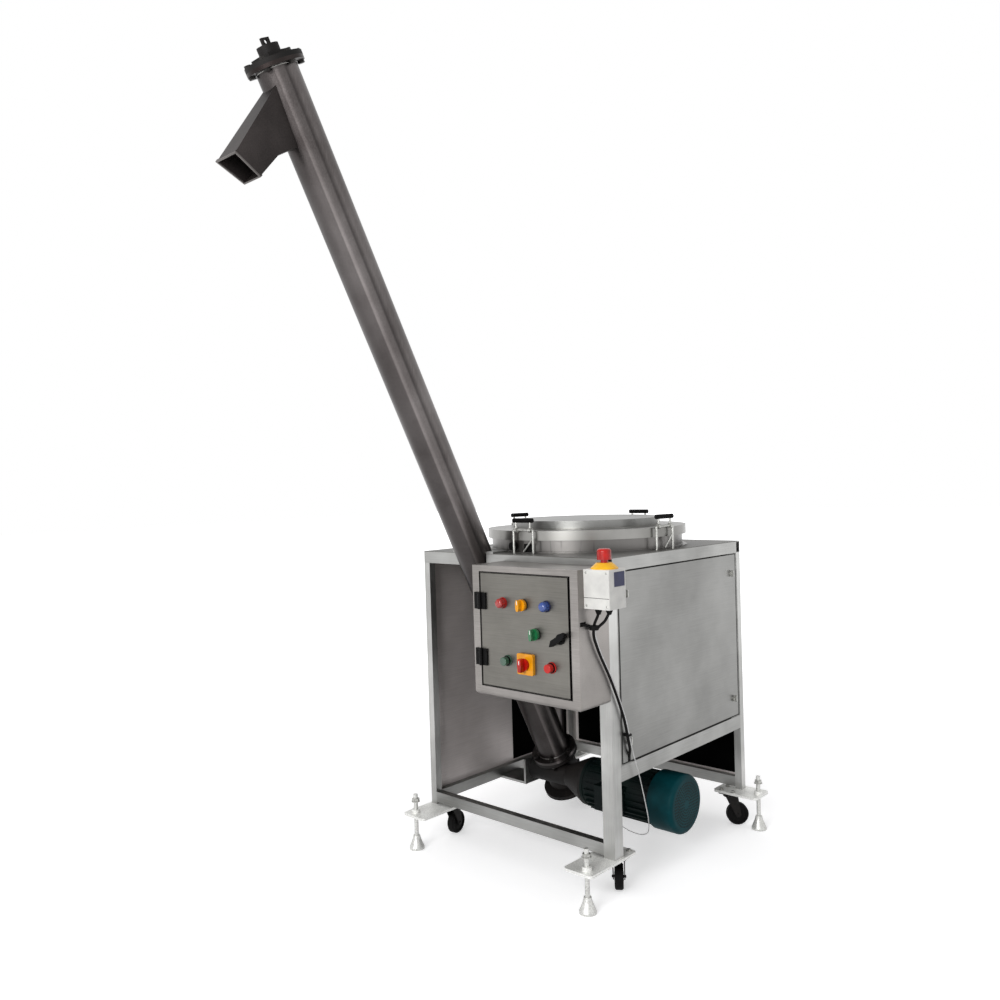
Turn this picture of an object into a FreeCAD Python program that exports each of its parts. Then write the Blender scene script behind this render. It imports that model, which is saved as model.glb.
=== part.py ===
import FreeCAD, Part
import math
import os
import re

import Sketcher
from FreeCAD import Placement, Rotation, Vector

# Inclined screw conveyor on a wheeled cabinet: a round hopper on the deck feeds a screw in a leaning tube.
# Millimetres, +Z up. The control panel faces -Y and the removable side panel faces +X.
# Sizes are first laid out from the cabinet's centre on the floor, and origin_x and origin_y then move
# everything so that the origin is under the middle of the whole machine.

SIZES = [
    ("origin_x", 0, "from the cabinet centre to the origin, set after the pieces are measured"),
    ("origin_y", 0, "from the cabinet centre to the origin, set after the pieces are measured"),
    # Cabinet
    ("cab_w", 765, "cabinet width"),
    ("cab_d", 777, "cabinet depth"),
    ("deck_z", 983, "top of the deck"),
    ("deck_t", 2, "deck sheet"),
    ("rail_high", 38, "height of the top rails"),
    ("leg_thin", 25, "section of the thin legs and rails"),
    ("leg_wide", 40, "section of the front right leg"),
    ("gauge", 2, "wall of the frame tubes"),
    ("skin", 1.5, "sheet of the panels and boxes"),
    ("low_rail_z", 127, "underside of the bottom rails"),
    ("low_rail_high", 35, "height of the bottom rails"),
    ("side_rail_z", 336, "underside of the right side rail"),
    ("side_rail_high", 45, "height of the right side rail"),
    ("panel_gap", 3, "gap over the side rail and under the top rail"),
    ("panel_side_gap", 8, "gap between the side panel and the legs"),
    ("strip_w", 60, "width of the strips behind the side panel"),
    ("strip_t", 3, "thickness of the strips behind the side panel"),
    ("lock_low", 63, "lower wing screws above the panel's lower edge"),
    ("lock_high", 68, "upper wing screws below the panel's upper edge"),
    ("lock_inset", 34, "wing screws from the panel's side edges"),
    ("lock_head", 18, "diameter of a wing screw's head"),
    ("lock_bolt", 8, "diameter of a wing screw's shank"),
    ("lock_room", 0.3, "clearance round a wing screw's shank"),
    # Base plates, casters and levelling feet
    ("caster_high", 112, "height of a caster and underside of the base plates"),
    ("plate_t", 8, "thickness of the base plates"),
    ("front_plate_w", 100, "width of a front base plate"),
    ("front_plate_len", 223, "length of a front base plate"),
    ("front_plate_out", 124.5, "front plate beyond the front of the cabinet"),
    ("plate_side_out", 7.5, "front plate beyond the side of the cabinet"),
    ("rear_plate_w", 160, "width of a rear base plate"),
    ("rear_plate_len", 100, "length of a rear base plate"),
    ("rear_plate_out", 21.5, "rear plate beyond the back of the cabinet"),
    ("rear_side_out", 77.5, "rear plate beyond the side of the cabinet"),
    ("caster_in", 33.5, "caster pin inwards of the cabinet side"),
    ("caster_front", 61.5, "front caster pins behind the cabinet front"),
    ("caster_back", 45.5, "rear caster pins before the cabinet back"),
    ("foot_in", 27.5, "front feet inwards of the cabinet side"),
    ("foot_front", 97.5, "front feet before the cabinet front"),
    ("foot_out", 62.5, "rear feet outwards of the cabinet side"),
    ("foot_back", 28.5, "rear feet before the cabinet back"),
    ("pad_w", 60, "side of a caster's top plate"),
    ("pad_t", 4, "thickness of a caster's top plate"),
    ("kingpin_d", 12, "kingpin"),
    ("kingpin_head_d", 20, "kingpin head"),
    ("kingpin_head_t", 3, "kingpin head thickness"),
    ("race_d", 50, "swivel race"),
    ("race_t", 9, "swivel race thickness"),
    ("swivel_room", 0.3, "axial clearance of the swivel"),
    ("shaft_room", 0.05, "radial running clearance of pins and shafts"),
    ("wheel_d", 75, "caster wheel"),
    ("wheel_w", 28, "caster wheel width"),
    ("wheel_hub_d", 26, "caster wheel hub"),
    ("wheel_rim_d", 58, "inside of the tyre"),
    ("wheel_dish", 4, "depth of the wheel's side recess"),
    ("tread_round", 4, "rounding of the tread"),
    ("fork_t", 3, "fork sheet"),
    ("fork_room", 1.5, "wheel to fork"),
    ("fork_eye_d", 20, "fork eye round the axle"),
    ("axle_d", 8, "caster axle"),
    ("axle_out", 3, "axle head beyond the fork"),
    ("trail", 22, "axle behind the swivel"),
    ("stud_d", 14, "levelling stud"),
    ("stud_top", 182, "top of the levelling stud"),
    ("bell_d", 50, "levelling bell"),
    ("bell_rim", 7, "straight rim of the bell"),
    ("bell_high", 46, "height of the bell"),
    ("bell_neck_d", 22, "neck of the bell"),
    ("weld_nut_d", 28, "weld nut over its corners"),
    ("weld_nut_t", 12, "weld nut height"),
    # Conveyor tube
    ("tube_x", -150, "plane in which the tube leans"),
    ("tube_deck_y", -383, "tube axis at the height of the deck"),
    ("lean", 27.3, "tube's lean from the vertical, degrees"),
    ("tube_foot_z", 250, "height of the tube's lower end on its axis"),
    ("tube_len", 2338, "tube with its flanges"),
    ("tube_d", 114.3, "outside of the tube"),
    ("tube_wall", 3, "wall of the tube"),
    ("tube_room", 3, "clearance of the deck and rail round the tube"),
    ("seat_room", 0.3, "clearance at curved seats"),
    ("flange_d", 160, "tube flanges"),
    ("flange_t", 10, "tube flange thickness"),
    ("bolt_circle", 138, "bolt circle of the flanges"),
    ("bolt_count", 6, "bolts in a flange"),
    ("bolt_d", 10, "flange bolts"),
    ("bolt_room", 0.5, "clearance of the bolt holes"),
    ("bolt_head_d", 19, "bolt head over its corners"),
    ("bolt_head_t", 7, "bolt head height"),
    ("cover_t", 12, "end cover"),
    ("bearing_w", 78, "top bearing's square foot"),
    ("bearing_t", 14, "top bearing's foot thickness"),
    ("bearing_hub_d", 60, "top bearing's hub"),
    ("bearing_hub_high", 36, "top bearing over the end cover"),
    ("eye_high", 20, "lifting eye over the bearing hub"),
    ("eye_w", 26, "lifting eye width"),
    ("eye_t", 8, "lifting eye thickness"),
    ("eye_hole_d", 12, "lifting eye hole"),
    # Screw
    ("shaft_d", 42, "screw shaft"),
    ("journal_d", 30, "screw shaft in its bearings"),
    ("flight_d", 104, "screw flight"),
    ("flight_pitch", 100, "pitch of the flight"),
    ("flight_end", 124, "flight's end under the tube's upper end"),
    ("flight_t", 3, "flight sheet"),
    ("flight_start", 14, "flight's start over the tube's lower end"),
    ("flight_weld", 0.5, "depth of the flight's inner edge in the shaft's weld"),
    # Discharge spout, in the leaning plane and measured from the middle of the tube's upper end
    ("spout_w", 90, "width of the spout at its upper lip"),
    ("spout_root_w", 36, "width of the spout at the tube's middle"),
    ("spout_wall", 2.5, "spout sheet"),
    ("lip_high_y", -155.0, "mouth, upper lip"),
    ("lip_high_z", -281.6, "mouth, upper lip"),
    ("lip_low_y", -81.0, "mouth, lower lip"),
    ("lip_low_z", -322.6, "mouth, lower lip"),
    ("root_high_y", 2.5, "upper wall at the tube"),
    ("root_high_z", -34.1, "upper wall at the tube"),
    ("knee_y", -17.0, "bend of the lower wall"),
    ("knee_z", -248.6, "bend of the lower wall"),
    ("root_low_y", 92.0, "lower wall at the tube"),
    ("root_low_z", -182.6, "lower wall at the tube"),
    ("rim_w", 9, "width of the rim band at the mouth"),
    ("rim_t", 2, "thickness of the rim band"),
    # Gearbox and motor
    ("teeth", 28, "teeth of the worm wheel"),
    ("module_mm", 2, "module of the worm gear"),
    ("worm_pitch_d", 24, "pitch diameter of the worm"),
    ("gear_add", 1.8, "tooth height outside the pitch line"),
    ("gear_ded", 2.4, "tooth depth inside the pitch line"),
    ("wheel_tooth_t", 2.5, "wheel tooth at the pitch line"),
    ("worm_tooth_t", 2.1, "worm thread at the pitch line"),
    ("gear_w", 12, "face width of the worm wheel"),
    ("gear_turns", 7, "turns of the worm thread"),
    ("gear_drop", 62, "worm wheel under the tube's lower end"),
    ("gear_room", 4, "room round the wheel and the worm"),
    ("case_d", 120, "gear case"),
    ("case_top", 12, "thickness of the gear case flange"),
    ("case_drop", 125, "underside of the gear case"),
    ("case_neck_d", 100, "neck over the foot flange"),
    ("foot_flange_d", 170, "foot flange of the gear case"),
    ("foot_flange_t", 14, "foot flange thickness"),
    ("foot_flange_drop", 155, "underside of the foot flange"),
    ("worm_case_d", 76, "case of the worm"),
    ("worm_case_left", 85, "case of the worm left of the screw"),
    ("worm_case_right", 75, "case of the worm right of the screw"),
    ("case_wall", 7, "closed end of the worm case"),
    ("worm_shaft_d", 19, "worm shaft"),
    ("motor_x", 25, "motor's mounting face"),
    ("motor_flange_d", 160, "motor flange"),
    ("motor_flange_t", 10, "motor flange thickness"),
    ("motor_d", 156, "motor frame between the ribs"),
    ("fin_high", 8, "height of the cooling ribs"),
    ("fin_t", 4, "thickness of the cooling ribs"),
    ("fin_count", 24, "cooling ribs"),
    ("motor_len", 275, "motor frame with its flange"),
    ("cowl_d", 186, "fan cowl"),
    ("cowl_len", 90, "fan cowl"),
    ("cowl_wall", 2, "fan cowl sheet"),
    ("cowl_round", 14, "rounding of the fan cowl"),
    ("term_w", 90, "terminal box along the motor"),
    ("term_deep", 45, "terminal box off the motor"),
    ("term_high", 80, "terminal box height"),
    ("term_x", 165, "terminal box from the cabinet centre"),
    # Brackets that hold the conveyor
    ("collar_w", 180, "tube collar on the deck"),
    ("collar_len", 98, "tube collar from front to back"),
    ("collar_t", 6, "tube collar thickness"),
    ("bracket_t", 8, "gearbox bracket thickness"),
    ("bracket_d", 110, "gearbox bracket from front to back"),
    ("bracket_high", 88, "gearbox bracket height"),
    # Hopper
    ("drum_y", 20, "hopper axis"),
    ("drum_d", 650, "hopper drum"),
    ("drum_t", 2, "hopper sheet"),
    ("cone_top", 930, "top of the hopper cone"),
    ("cone_foot", 500, "underside of the cone's flange"),
    ("seat_d", 680, "ring by which the drum sits on the deck"),
    ("hoop_d", 675, "hoop round the drum"),
    ("hoop_low", 1022, "underside of the hoop"),
    ("hoop_high", 1052, "top of the hoop"),
    ("neck_d", 496, "neck under the lid"),
    ("lid_z", 1079, "top of the lid"),
    ("lid_t", 2, "lid sheet"),
    ("lid_skirt", 22, "lid skirt"),
    ("lid_room", 1, "lid to neck"),
    ("chute_y", -15, "inlet chute axis"),
    ("chute_d", 90, "inlet chute"),
    ("chute_flange_d", 107, "inlet chute flange"),
    ("chute_flange_t", 6, "inlet chute flange thickness"),
    # Latches round the hopper
    ("latch_r", 347, "latch brackets from the hopper axis"),
    ("latch_half", 39, "half the width of a latch bracket"),
    ("latch_bar_d", 8, "bars of the latches"),
    ("latch_pivot_z", 1056, "pivot of the latch levers"),
    ("lever_high", 30, "latch lever from its pivot to the grip"),
    ("grip_d", 12, "grip of a latch lever"),
    ("lever_eye_d", 16, "eye of a latch lever"),
    ("lever_eye_w", 10, "width of the eye"),
    ("lever_half", 28, "half the width between the eyes"),
    # Control box
    ("box_w", 400, "control box width"),
    ("box_d", 138.5, "control box depth"),
    ("box_z", 572, "control box underside"),
    ("box_high", 390, "control box height"),
    ("box_round", 12, "rounded lower edge of the control box"),
    ("door_left", 33.5, "box front left of the door"),
    ("door_right", 35.5, "box front right of the door"),
    ("door_low", 34, "box front under the door"),
    ("door_high", 23, "box front over the door"),
    ("door_gap", 2, "gap round the door"),
    ("door_t", 15, "depth of the door with its folded edge"),
    ("hinge_w", 46, "hinge width"),
    ("hinge_high", 50, "hinge height"),
    ("hinge_t", 5, "hinge leaf"),
    ("knuckle_d", 12, "hinge knuckle"),
    ("knuckle_room", 0.5, "hinge knuckle off the box front"),
    ("hinge_pin_d", 5, "hinge pin"),
    ("hinge_up_z", 856, "upper hinge"),
    ("hinge_low_z", 688, "lower hinge"),
    # Control devices on the door, from the cabinet centre
    ("device_d", 22, "barrel of a control device"),
    ("device_room", 0.3, "barrel to its hole"),
    ("bezel_d", 30, "bezel"),
    ("bezel_t", 4, "bezel thickness"),
    ("block_w", 28, "contact block behind the door"),
    ("block_len", 44, "contact block depth"),
    ("lamp_d", 28, "lamp lens"),
    ("lamp_len", 21, "lamp lens out of its bezel"),
    ("lamp_round", 9, "rounding of the lens"),
    ("button_d", 25, "push button cap"),
    ("button_len", 14, "push button cap length"),
    ("button_travel", 4, "push button travel"),
    ("stem_d", 12, "stem of a push button"),
    ("knob_d", 34, "selector knob"),
    ("knob_base", 9, "selector knob's round base"),
    ("knob_grip_w", 12, "selector knob's grip"),
    ("knob_len", 24, "selector knob's length"),
    ("plate_w", 60, "main switch plate"),
    ("switch_plate_t", 10, "main switch plate thickness"),
    ("switch_knob_d", 34, "main switch knob"),
    ("switch_knob_len", 26, "main switch knob length"),
    ("red_lamp_x", 105, "red lamp"),
    ("red_lamp_z", 855, "red lamp"),
    ("yellow_x", 183, "yellow selector"),
    ("yellow_z", 854, "yellow selector"),
    ("blue_lamp_x", 270, "blue lamp"),
    ("blue_lamp_z", 856, "blue lamp"),
    ("green_x", 229, "green selector"),
    ("green_z", 774, "green selector"),
    ("start_x", 118, "start button"),
    ("start_z", 687, "start button"),
    ("switch_x", 192, "main switch"),
    ("switch_z", 685, "main switch"),
    ("stop_x", 284, "stop button"),
    ("stop_z", 685, "stop button"),
    ("lock_x", 318, "lock handle"),
    ("lock_z", 768, "lock handle"),
    ("handle_len", 68, "lock handle length"),
    ("handle_w", 16, "lock handle width"),
    ("handle_t", 11, "lock handle thickness"),
    ("handle_slant", 32, "lock handle's slant, degrees"),
    # Emergency stop box
    ("estop_w", 85, "emergency stop box off the cabinet side"),
    ("estop_d", 80, "emergency stop box depth"),
    ("estop_high", 108, "emergency stop box height"),
    ("estop_z", 855, "emergency stop box underside"),
    ("estop_y", -500, "emergency stop box front"),
    ("estop_round", 4, "rounding of the emergency stop box"),
    ("dome_d", 76, "yellow collar"),
    ("dome_top_d", 44, "yellow collar's top"),
    ("dome_high", 17, "yellow collar height"),
    ("mush_d", 40, "mushroom button"),
    ("mush_high", 30, "mushroom button height"),
    ("mush_lift", 8, "mushroom over the collar"),
    ("mush_stem_d", 20, "mushroom stem"),
    ("mush_round", 8, "rounding of the mushroom"),
    # Cables
    ("cable_d", 8, "black cables"),
    ("cable_in_y", -306, "slot in the side panel for the cable"),
    ("cable_in_z", 399, "slot in the side panel for the cable"),
    ("gland_y", -508, "slot in the control box for the cable"),
    ("gland_z", 812, "slot in the control box for the cable"),
    ("wire_d", 3, "motor wire"),
]

os.makedirs("parts", exist_ok=True)
doc = FreeCAD.newDocument("screw_conveyor")
dims = doc.addObject("Spreadsheet::Sheet", "dims")
for row, (alias, value, note) in enumerate(SIZES, 1):
    dims.set("A%d" % row, note)
    dims.set("B%d" % row, str(value))
    dims.setAlias("B%d" % row, alias)
doc.recompute()

ALIASES = re.compile(r"\b(" + "|".join(sorted((size[0] for size in SIZES), key=len, reverse=True)) + r")\b")

# Places that several sub-parts share, written with the names of the sheet
SIDE = "(cab_w/2)"
FRONT = "(-cab_d/2)"
BACK = "(cab_d/2)"
RAIL_Z = "(deck_z - deck_t - rail_high)"
PLATE_Z = "(caster_high + plate_t)"
LOW_Y = "(tube_deck_y + tan(lean)*(deck_z - tube_foot_z))"
TOP_Y = "(" + LOW_Y + " - sin(lean)*tube_len)"
TOP_Z = "(tube_foot_z + cos(lean)*tube_len)"
TUBE_R = "(tube_d/2)"
BOX_FRONT = "(-cab_d/2 - box_d)"
BOX_LEFT = "(cab_w/2 - box_w)"
DOOR_X = "(cab_w/2 - box_w + door_left)"
DOOR_Z = "(box_z + door_low)"
DOOR_W = "(box_w - door_left - door_right)"
DOOR_HIGH = "(box_high - door_low - door_high)"
HINGE_X = "(cab_w/2 - box_w + door_left - door_gap/2)"
HINGE_Y = "(-cab_d/2 - box_d - knuckle_d/2 - knuckle_room)"
WHEEL_R = "(wheel_d/2)"
WORM_OFF = "((module_mm*teeth + worm_pitch_d)/2)"
WORM_Y = "(" + LOW_Y + " + sin(lean)*gear_drop - cos(lean)*" + WORM_OFF + ")"
WORM_Z = "(tube_foot_z - cos(lean)*gear_drop - sin(lean)*" + WORM_OFF + ")"
ESTOP_X = "(cab_w/2 + estop_w/2)"
ESTOP_Y = "(estop_y + estop_d/2)"
ESTOP_TOP = "(estop_z + estop_high)"

X_AXIS = Vector(1, 0, 0)
Y_AXIS = Vector(0, 1, 0)
Z_AXIS = Vector(0, 0, 1)
PIECES = []


# Expressions and placements

def ex(text):
    """The text with every size's name pointing into the sheet."""
    return ALIASES.sub(r"dims.\1", str(text))


def num(text):
    """The text's value, from the sheet."""
    return float(dims.evalExpression(ex(text)))


def bind(item, **sizes):
    """Tie an object's properties to the sheet."""
    for name, text in sizes.items():
        item.setExpression(name, ex(text))
    return item


def place(item, x, y, z, axis=Z_AXIS, angle="0"):
    """Put an object at x, y, z, turned about one axis, and keep it there when sizes change."""
    spot = Vector(num(x), num(y), num(z))
    item.Placement = Placement(spot, Rotation(axis, num(angle)))
    item.setExpression("Placement.Base.x", ex(x))
    item.setExpression("Placement.Base.y", ex(y))
    item.setExpression("Placement.Base.z", ex(z))
    if ALIASES.search(str(angle)):
        item.setExpression("Placement.Rotation.Angle", ex(angle))
    return item


def place_on_tube(item, along="0", off="0", x="0", shift="0"):
    """Put an object on the tube's axis, its own z up the tube and its own y off the tube's rear."""
    y = "%s - sin(lean)*(%s) + cos(lean)*(%s)" % (LOW_Y, along, off)
    z = "tube_foot_z + cos(lean)*(%s) + sin(lean)*(%s)" % (along, off)
    if shift == "0":
        return place(item, "tube_x + (%s)" % x, y, z, X_AXIS, "lean")
    return place(item, "tube_x + (%s) - origin_x" % x, y + " - origin_y", z, X_AXIS, "lean")


def finish(label, item, x="0", y="0", z="0", axis=Z_AXIS, angle="0"):
    """Name a finished sub-part and move it from the cabinet's centre to the origin."""
    item.Label = label
    place(item, "(%s) - origin_x" % x, "(%s) - origin_y" % y, z, axis, angle)
    PIECES.append(item)
    return item


# Solids

def block(name, x, y, z, dx, dy, dz):
    item = doc.addObject("Part::Box", name)
    bind(item, Length=dx, Width=dy, Height=dz)
    return place(item, x, y, z)


def rod(name, x, y, z, radius, length, axis="z"):
    item = doc.addObject("Part::Cylinder", name)
    bind(item, Radius=radius, Height=length)
    turns = {"x": (Y_AXIS, "90"), "y": (X_AXIS, "-90"), "z": (Z_AXIS, "0")}
    return place(item, x, y, z, *turns[axis])


def tube_rod(name, along, radius, length, off="0", x="0"):
    item = doc.addObject("Part::Cylinder", name)
    bind(item, Radius=radius, Height=length)
    return place_on_tube(item, along, off, x)


def tube_block(name, along, off, x, dx, dy, dz):
    item = doc.addObject("Part::Box", name)
    bind(item, Length=dx, Width=dy, Height=dz)
    return place_on_tube(item, along, off, x)


def fuse(name, *solids):
    item = doc.addObject("Part::MultiFuse", name)
    item.Shapes = list(solids)
    item.Refine = True
    return item


def cut(name, base, *tools):
    item = doc.addObject("Part::Cut", name)
    item.Base = base
    item.Tool = tools[0] if len(tools) == 1 else fuse(name + "_tools", *tools)
    return item


def group(name, *solids):
    """Separate solids that make one sub-part."""
    item = doc.addObject("Part::Compound", name)
    item.Links = list(solids)
    return item


def square_tube(name, x, y, z, dx, dy, dz, axis):
    """A piece of frame tube, hollow along one axis."""
    start = {"x": x, "y": y, "z": z}
    size = {"x": dx, "y": dy, "z": dz}
    inner_start = dict(start)
    inner_size = dict(size)
    for side in "xyz".replace(axis, ""):
        inner_start[side] = "(%s) + gauge" % start[side]
        inner_size[side] = "(%s) - 2*gauge" % size[side]
    outer = block(name + "_outside", x, y, z, dx, dy, dz)
    inner = block(name + "_inside", *(inner_start[k] for k in "xyz"), *(inner_size[k] for k in "xyz"))
    return cut(name, outer, inner)


# Bodies with sketches

def new_body(name):
    return doc.addObject("PartDesign::Body", name)


def new_sketch(body, name, role, offset="0"):
    sketch = body.newObject("Sketcher::SketchObject", name)
    plane = [item for item in body.Origin.OriginFeatures if item.Role == role][0]
    sketch.AttachmentSupport = [(plane, "")]
    sketch.MapMode = "FlatFace"
    if offset != "0":
        sketch.AttachmentOffset = Placement(Vector(0, 0, num(offset)), Rotation())
        sketch.setExpression("AttachmentOffset.Base.z", ex(offset))
    return sketch


def pin_point(sketch, index, point, x, y):
    """Hold a sketch point by its distances from the sketch's origin."""
    for kind, text in (("DistanceX", x), ("DistanceY", y)):
        key = sketch.addConstraint(Sketcher.Constraint(kind, -1, 1, index, point, num(text)))
        sketch.setExpression("Constraints[%d]" % key, ex(text))


def outline(sketch, points):
    """A closed outline of straight lines through points given with the sheet's names."""
    spots = [Vector(num(x), num(y), 0) for x, y in points]
    first = sketch.GeometryCount
    count = len(points)
    for i in range(count):
        sketch.addGeometry(Part.LineSegment(spots[i], spots[(i + 1) % count]), False)
    for i in range(count):
        sketch.addConstraint(Sketcher.Constraint("Coincident", first + i, 2, first + (i + 1) % count, 1))
    for i, (x, y) in enumerate(points):
        pin_point(sketch, first + i, 1, x, y)
    return sketch


def circle(sketch, x, y, radius):
    index = sketch.addGeometry(Part.Circle(Vector(num(x), num(y), 0), Z_AXIS, num(radius)), False)
    pin_point(sketch, index, 3, x, y)
    key = sketch.addConstraint(Sketcher.Constraint("Radius", index, num(radius)))
    sketch.setExpression("Constraints[%d]" % key, ex(radius))
    return sketch


def pad(body, sketch, length, both_sides=False, backwards=False):
    item = body.newObject("PartDesign::Pad", sketch.Name + "_pad")
    item.Profile = sketch
    item.Midplane = both_sides
    item.Reversed = backwards
    return bind(item, Length=length)


def pocket(body, sketch, length, both_sides=False, backwards=False):
    item = body.newObject("PartDesign::Pocket", sketch.Name + "_pocket")
    item.Profile = sketch
    item.Midplane = both_sides
    item.Reversed = backwards
    return bind(item, Length=length)


def turned(name, points, role="XZ_Plane"):
    """A body turned from a profile of (radius, height) points round the sketch's upright axis."""
    body = new_body(name)
    sketch = outline(new_sketch(body, name + "_profile", role), points)
    turn = body.newObject("PartDesign::Revolution", name + "_turn")
    turn.Profile = sketch
    turn.ReferenceAxis = (sketch, ["V_Axis"])
    turn.Angle = 360
    return body


def soften(body, radius, test):
    """Round the edges of the body's last feature that pass the test."""
    doc.recompute()
    base = body.Tip
    names = ["Edge%d" % (i + 1) for i, edge in enumerate(base.Shape.Edges) if test(edge)]
    item = body.newObject("PartDesign::Fillet", body.Name + "_rounding")
    item.Base = (base, names)
    return bind(item, Radius=radius)


def rim(radius, level, axis="z"):
    """A test for the round edge of this radius at this height, in the body's own frame."""
    def test(edge):
        if not isinstance(edge.Curve, Part.Circle):
            return False
        return (abs(edge.Curve.Radius - num(radius)) < 1e-4
                and abs(getattr(edge.Curve.Center, axis) - num(level)) < 1e-4)
    return test


def helical_band(inner, outer, pitch, turns, thickness, steps):
    """A flat band wound round the z axis in straight steps, its middle line starting at height 0."""
    rings = []
    for i in range(int(turns * steps) + 1):
        angle = 2 * math.pi * i / steps
        level = pitch * i / steps
        corners = ((inner, -thickness / 2), (outer, -thickness / 2), (outer, thickness / 2),
                   (inner, thickness / 2))
        rings.append([Vector(r * math.cos(angle), r * math.sin(angle), level + dz) for r, dz in corners])
    faces = [Part.Face(Part.makePolygon(ring + ring[:1])) for ring in (rings[0], rings[-1])]
    for here, there in zip(rings, rings[1:]):
        for k in range(4):
            a, b, c, d = here[k], here[(k + 1) % 4], there[(k + 1) % 4], there[k]
            faces.append(Part.Face(Part.makePolygon([a, b, c, a])))
            faces.append(Part.Face(Part.makePolygon([a, c, d, a])))
    shell = Part.Shell(faces)
    shell.sewShape()
    solid = Part.Solid(shell)
    if solid.Volume < 0:
        solid.reverse()
    return solid


# Cabinet

def make_frame():
    leg_top = "(%s - %s)" % (RAIL_Z, PLATE_Z)
    legs = [
        square_tube("leg_front_right", SIDE + " - leg_wide", FRONT, PLATE_Z, "leg_wide", "leg_wide", leg_top,
                    "z"),
        square_tube("leg_front_left", "-" + SIDE, FRONT, PLATE_Z, "leg_thin", "leg_thin", leg_top, "z"),
        square_tube("leg_rear_right", SIDE + " - leg_thin", BACK + " - leg_thin", PLATE_Z, "leg_thin",
                    "leg_thin", leg_top, "z"),
        square_tube("leg_rear_left", "-" + SIDE, BACK + " - leg_thin", PLATE_Z, "leg_thin", "leg_thin",
                    leg_top, "z"),
    ]
    finish("frame_legs", group("frame_legs", *legs))

    inner_w = "(cab_w - 2*leg_thin)"
    inner_d = "(cab_d - 2*leg_thin)"
    notch = "(%s + tube_room)" % TUBE_R
    rails = [
        square_tube("rail_front_left", "-" + SIDE, FRONT, RAIL_Z, "tube_x - %s + %s" % (notch, SIDE),
                    "leg_thin", "rail_high", "x"),
        square_tube("rail_front_right", "tube_x + " + notch, FRONT, RAIL_Z,
                    "%s - tube_x - %s" % (SIDE, notch), "leg_thin", "rail_high", "x"),
        square_tube("rail_back", "-" + SIDE, BACK + " - leg_thin", RAIL_Z, "cab_w", "leg_thin", "rail_high",
                    "x"),
        square_tube("rail_left", "-" + SIDE, FRONT + " + leg_thin", RAIL_Z, "leg_thin", inner_d, "rail_high",
                    "y"),
        square_tube("rail_right", SIDE + " - leg_thin", FRONT + " + leg_thin", RAIL_Z, "leg_thin", inner_d,
                    "rail_high", "y"),
        square_tube("low_front", "-%s + leg_thin" % SIDE, FRONT, "low_rail_z", "cab_w - leg_thin - leg_wide",
                    "leg_thin", "low_rail_high", "x"),
        square_tube("low_left", "-" + SIDE, FRONT + " + leg_thin", "low_rail_z", "leg_thin", inner_d,
                    "low_rail_high", "y"),
        square_tube("low_back", "-%s + leg_thin" % SIDE, BACK + " - leg_thin", "low_rail_z", inner_w,
                    "leg_thin", "low_rail_high", "x"),
        square_tube("side_rail", SIDE + " - leg_thin", FRONT + " + leg_wide", "side_rail_z", "leg_thin",
                    "cab_d - leg_wide - leg_thin", "side_rail_high", "y"),
    ]
    strip_x = SIDE + " - skin - strip_t"
    strip_z = "side_rail_z + side_rail_high"
    strip_high = "(%s - side_rail_z - side_rail_high)" % RAIL_Z
    for name, start in (("strip_front", FRONT + " + leg_wide"),
                        ("strip_back", BACK + " - leg_thin - strip_w")):
        strip = block(name + "_blank", strip_x, start, strip_z, "strip_t", "strip_w", strip_high)
        holes = [rod("%s_hole_%s" % (name, level), strip_x + " - 1", lock_y(name), lock_z(level),
                     "lock_bolt/2 + lock_room", "strip_t + 2", "x") for level in ("low", "high")]
        if name == "strip_front":
            holes.append(cable_slot("strip_cable_slot"))
        rails.append(cut(name, strip, *holes))
    finish("frame_rails", group("frame_rails", *rails))


def cable_slot(name):
    """The slot by which the black cable goes in through the side panel."""
    return block(name, SIDE + " - skin - strip_t - 1", "cable_in_y - 7", "cable_in_z - 12",
                 "skin + strip_t + 2", "14", "24")


def lock_y(strip):
    if strip == "strip_front":
        return FRONT + " + leg_wide + panel_side_gap + lock_inset"
    return BACK + " - leg_thin - panel_side_gap - lock_inset"


def lock_z(level):
    if level == "low":
        return "side_rail_z + side_rail_high + panel_gap + lock_low"
    return RAIL_Z + " - lock_high"


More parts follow.
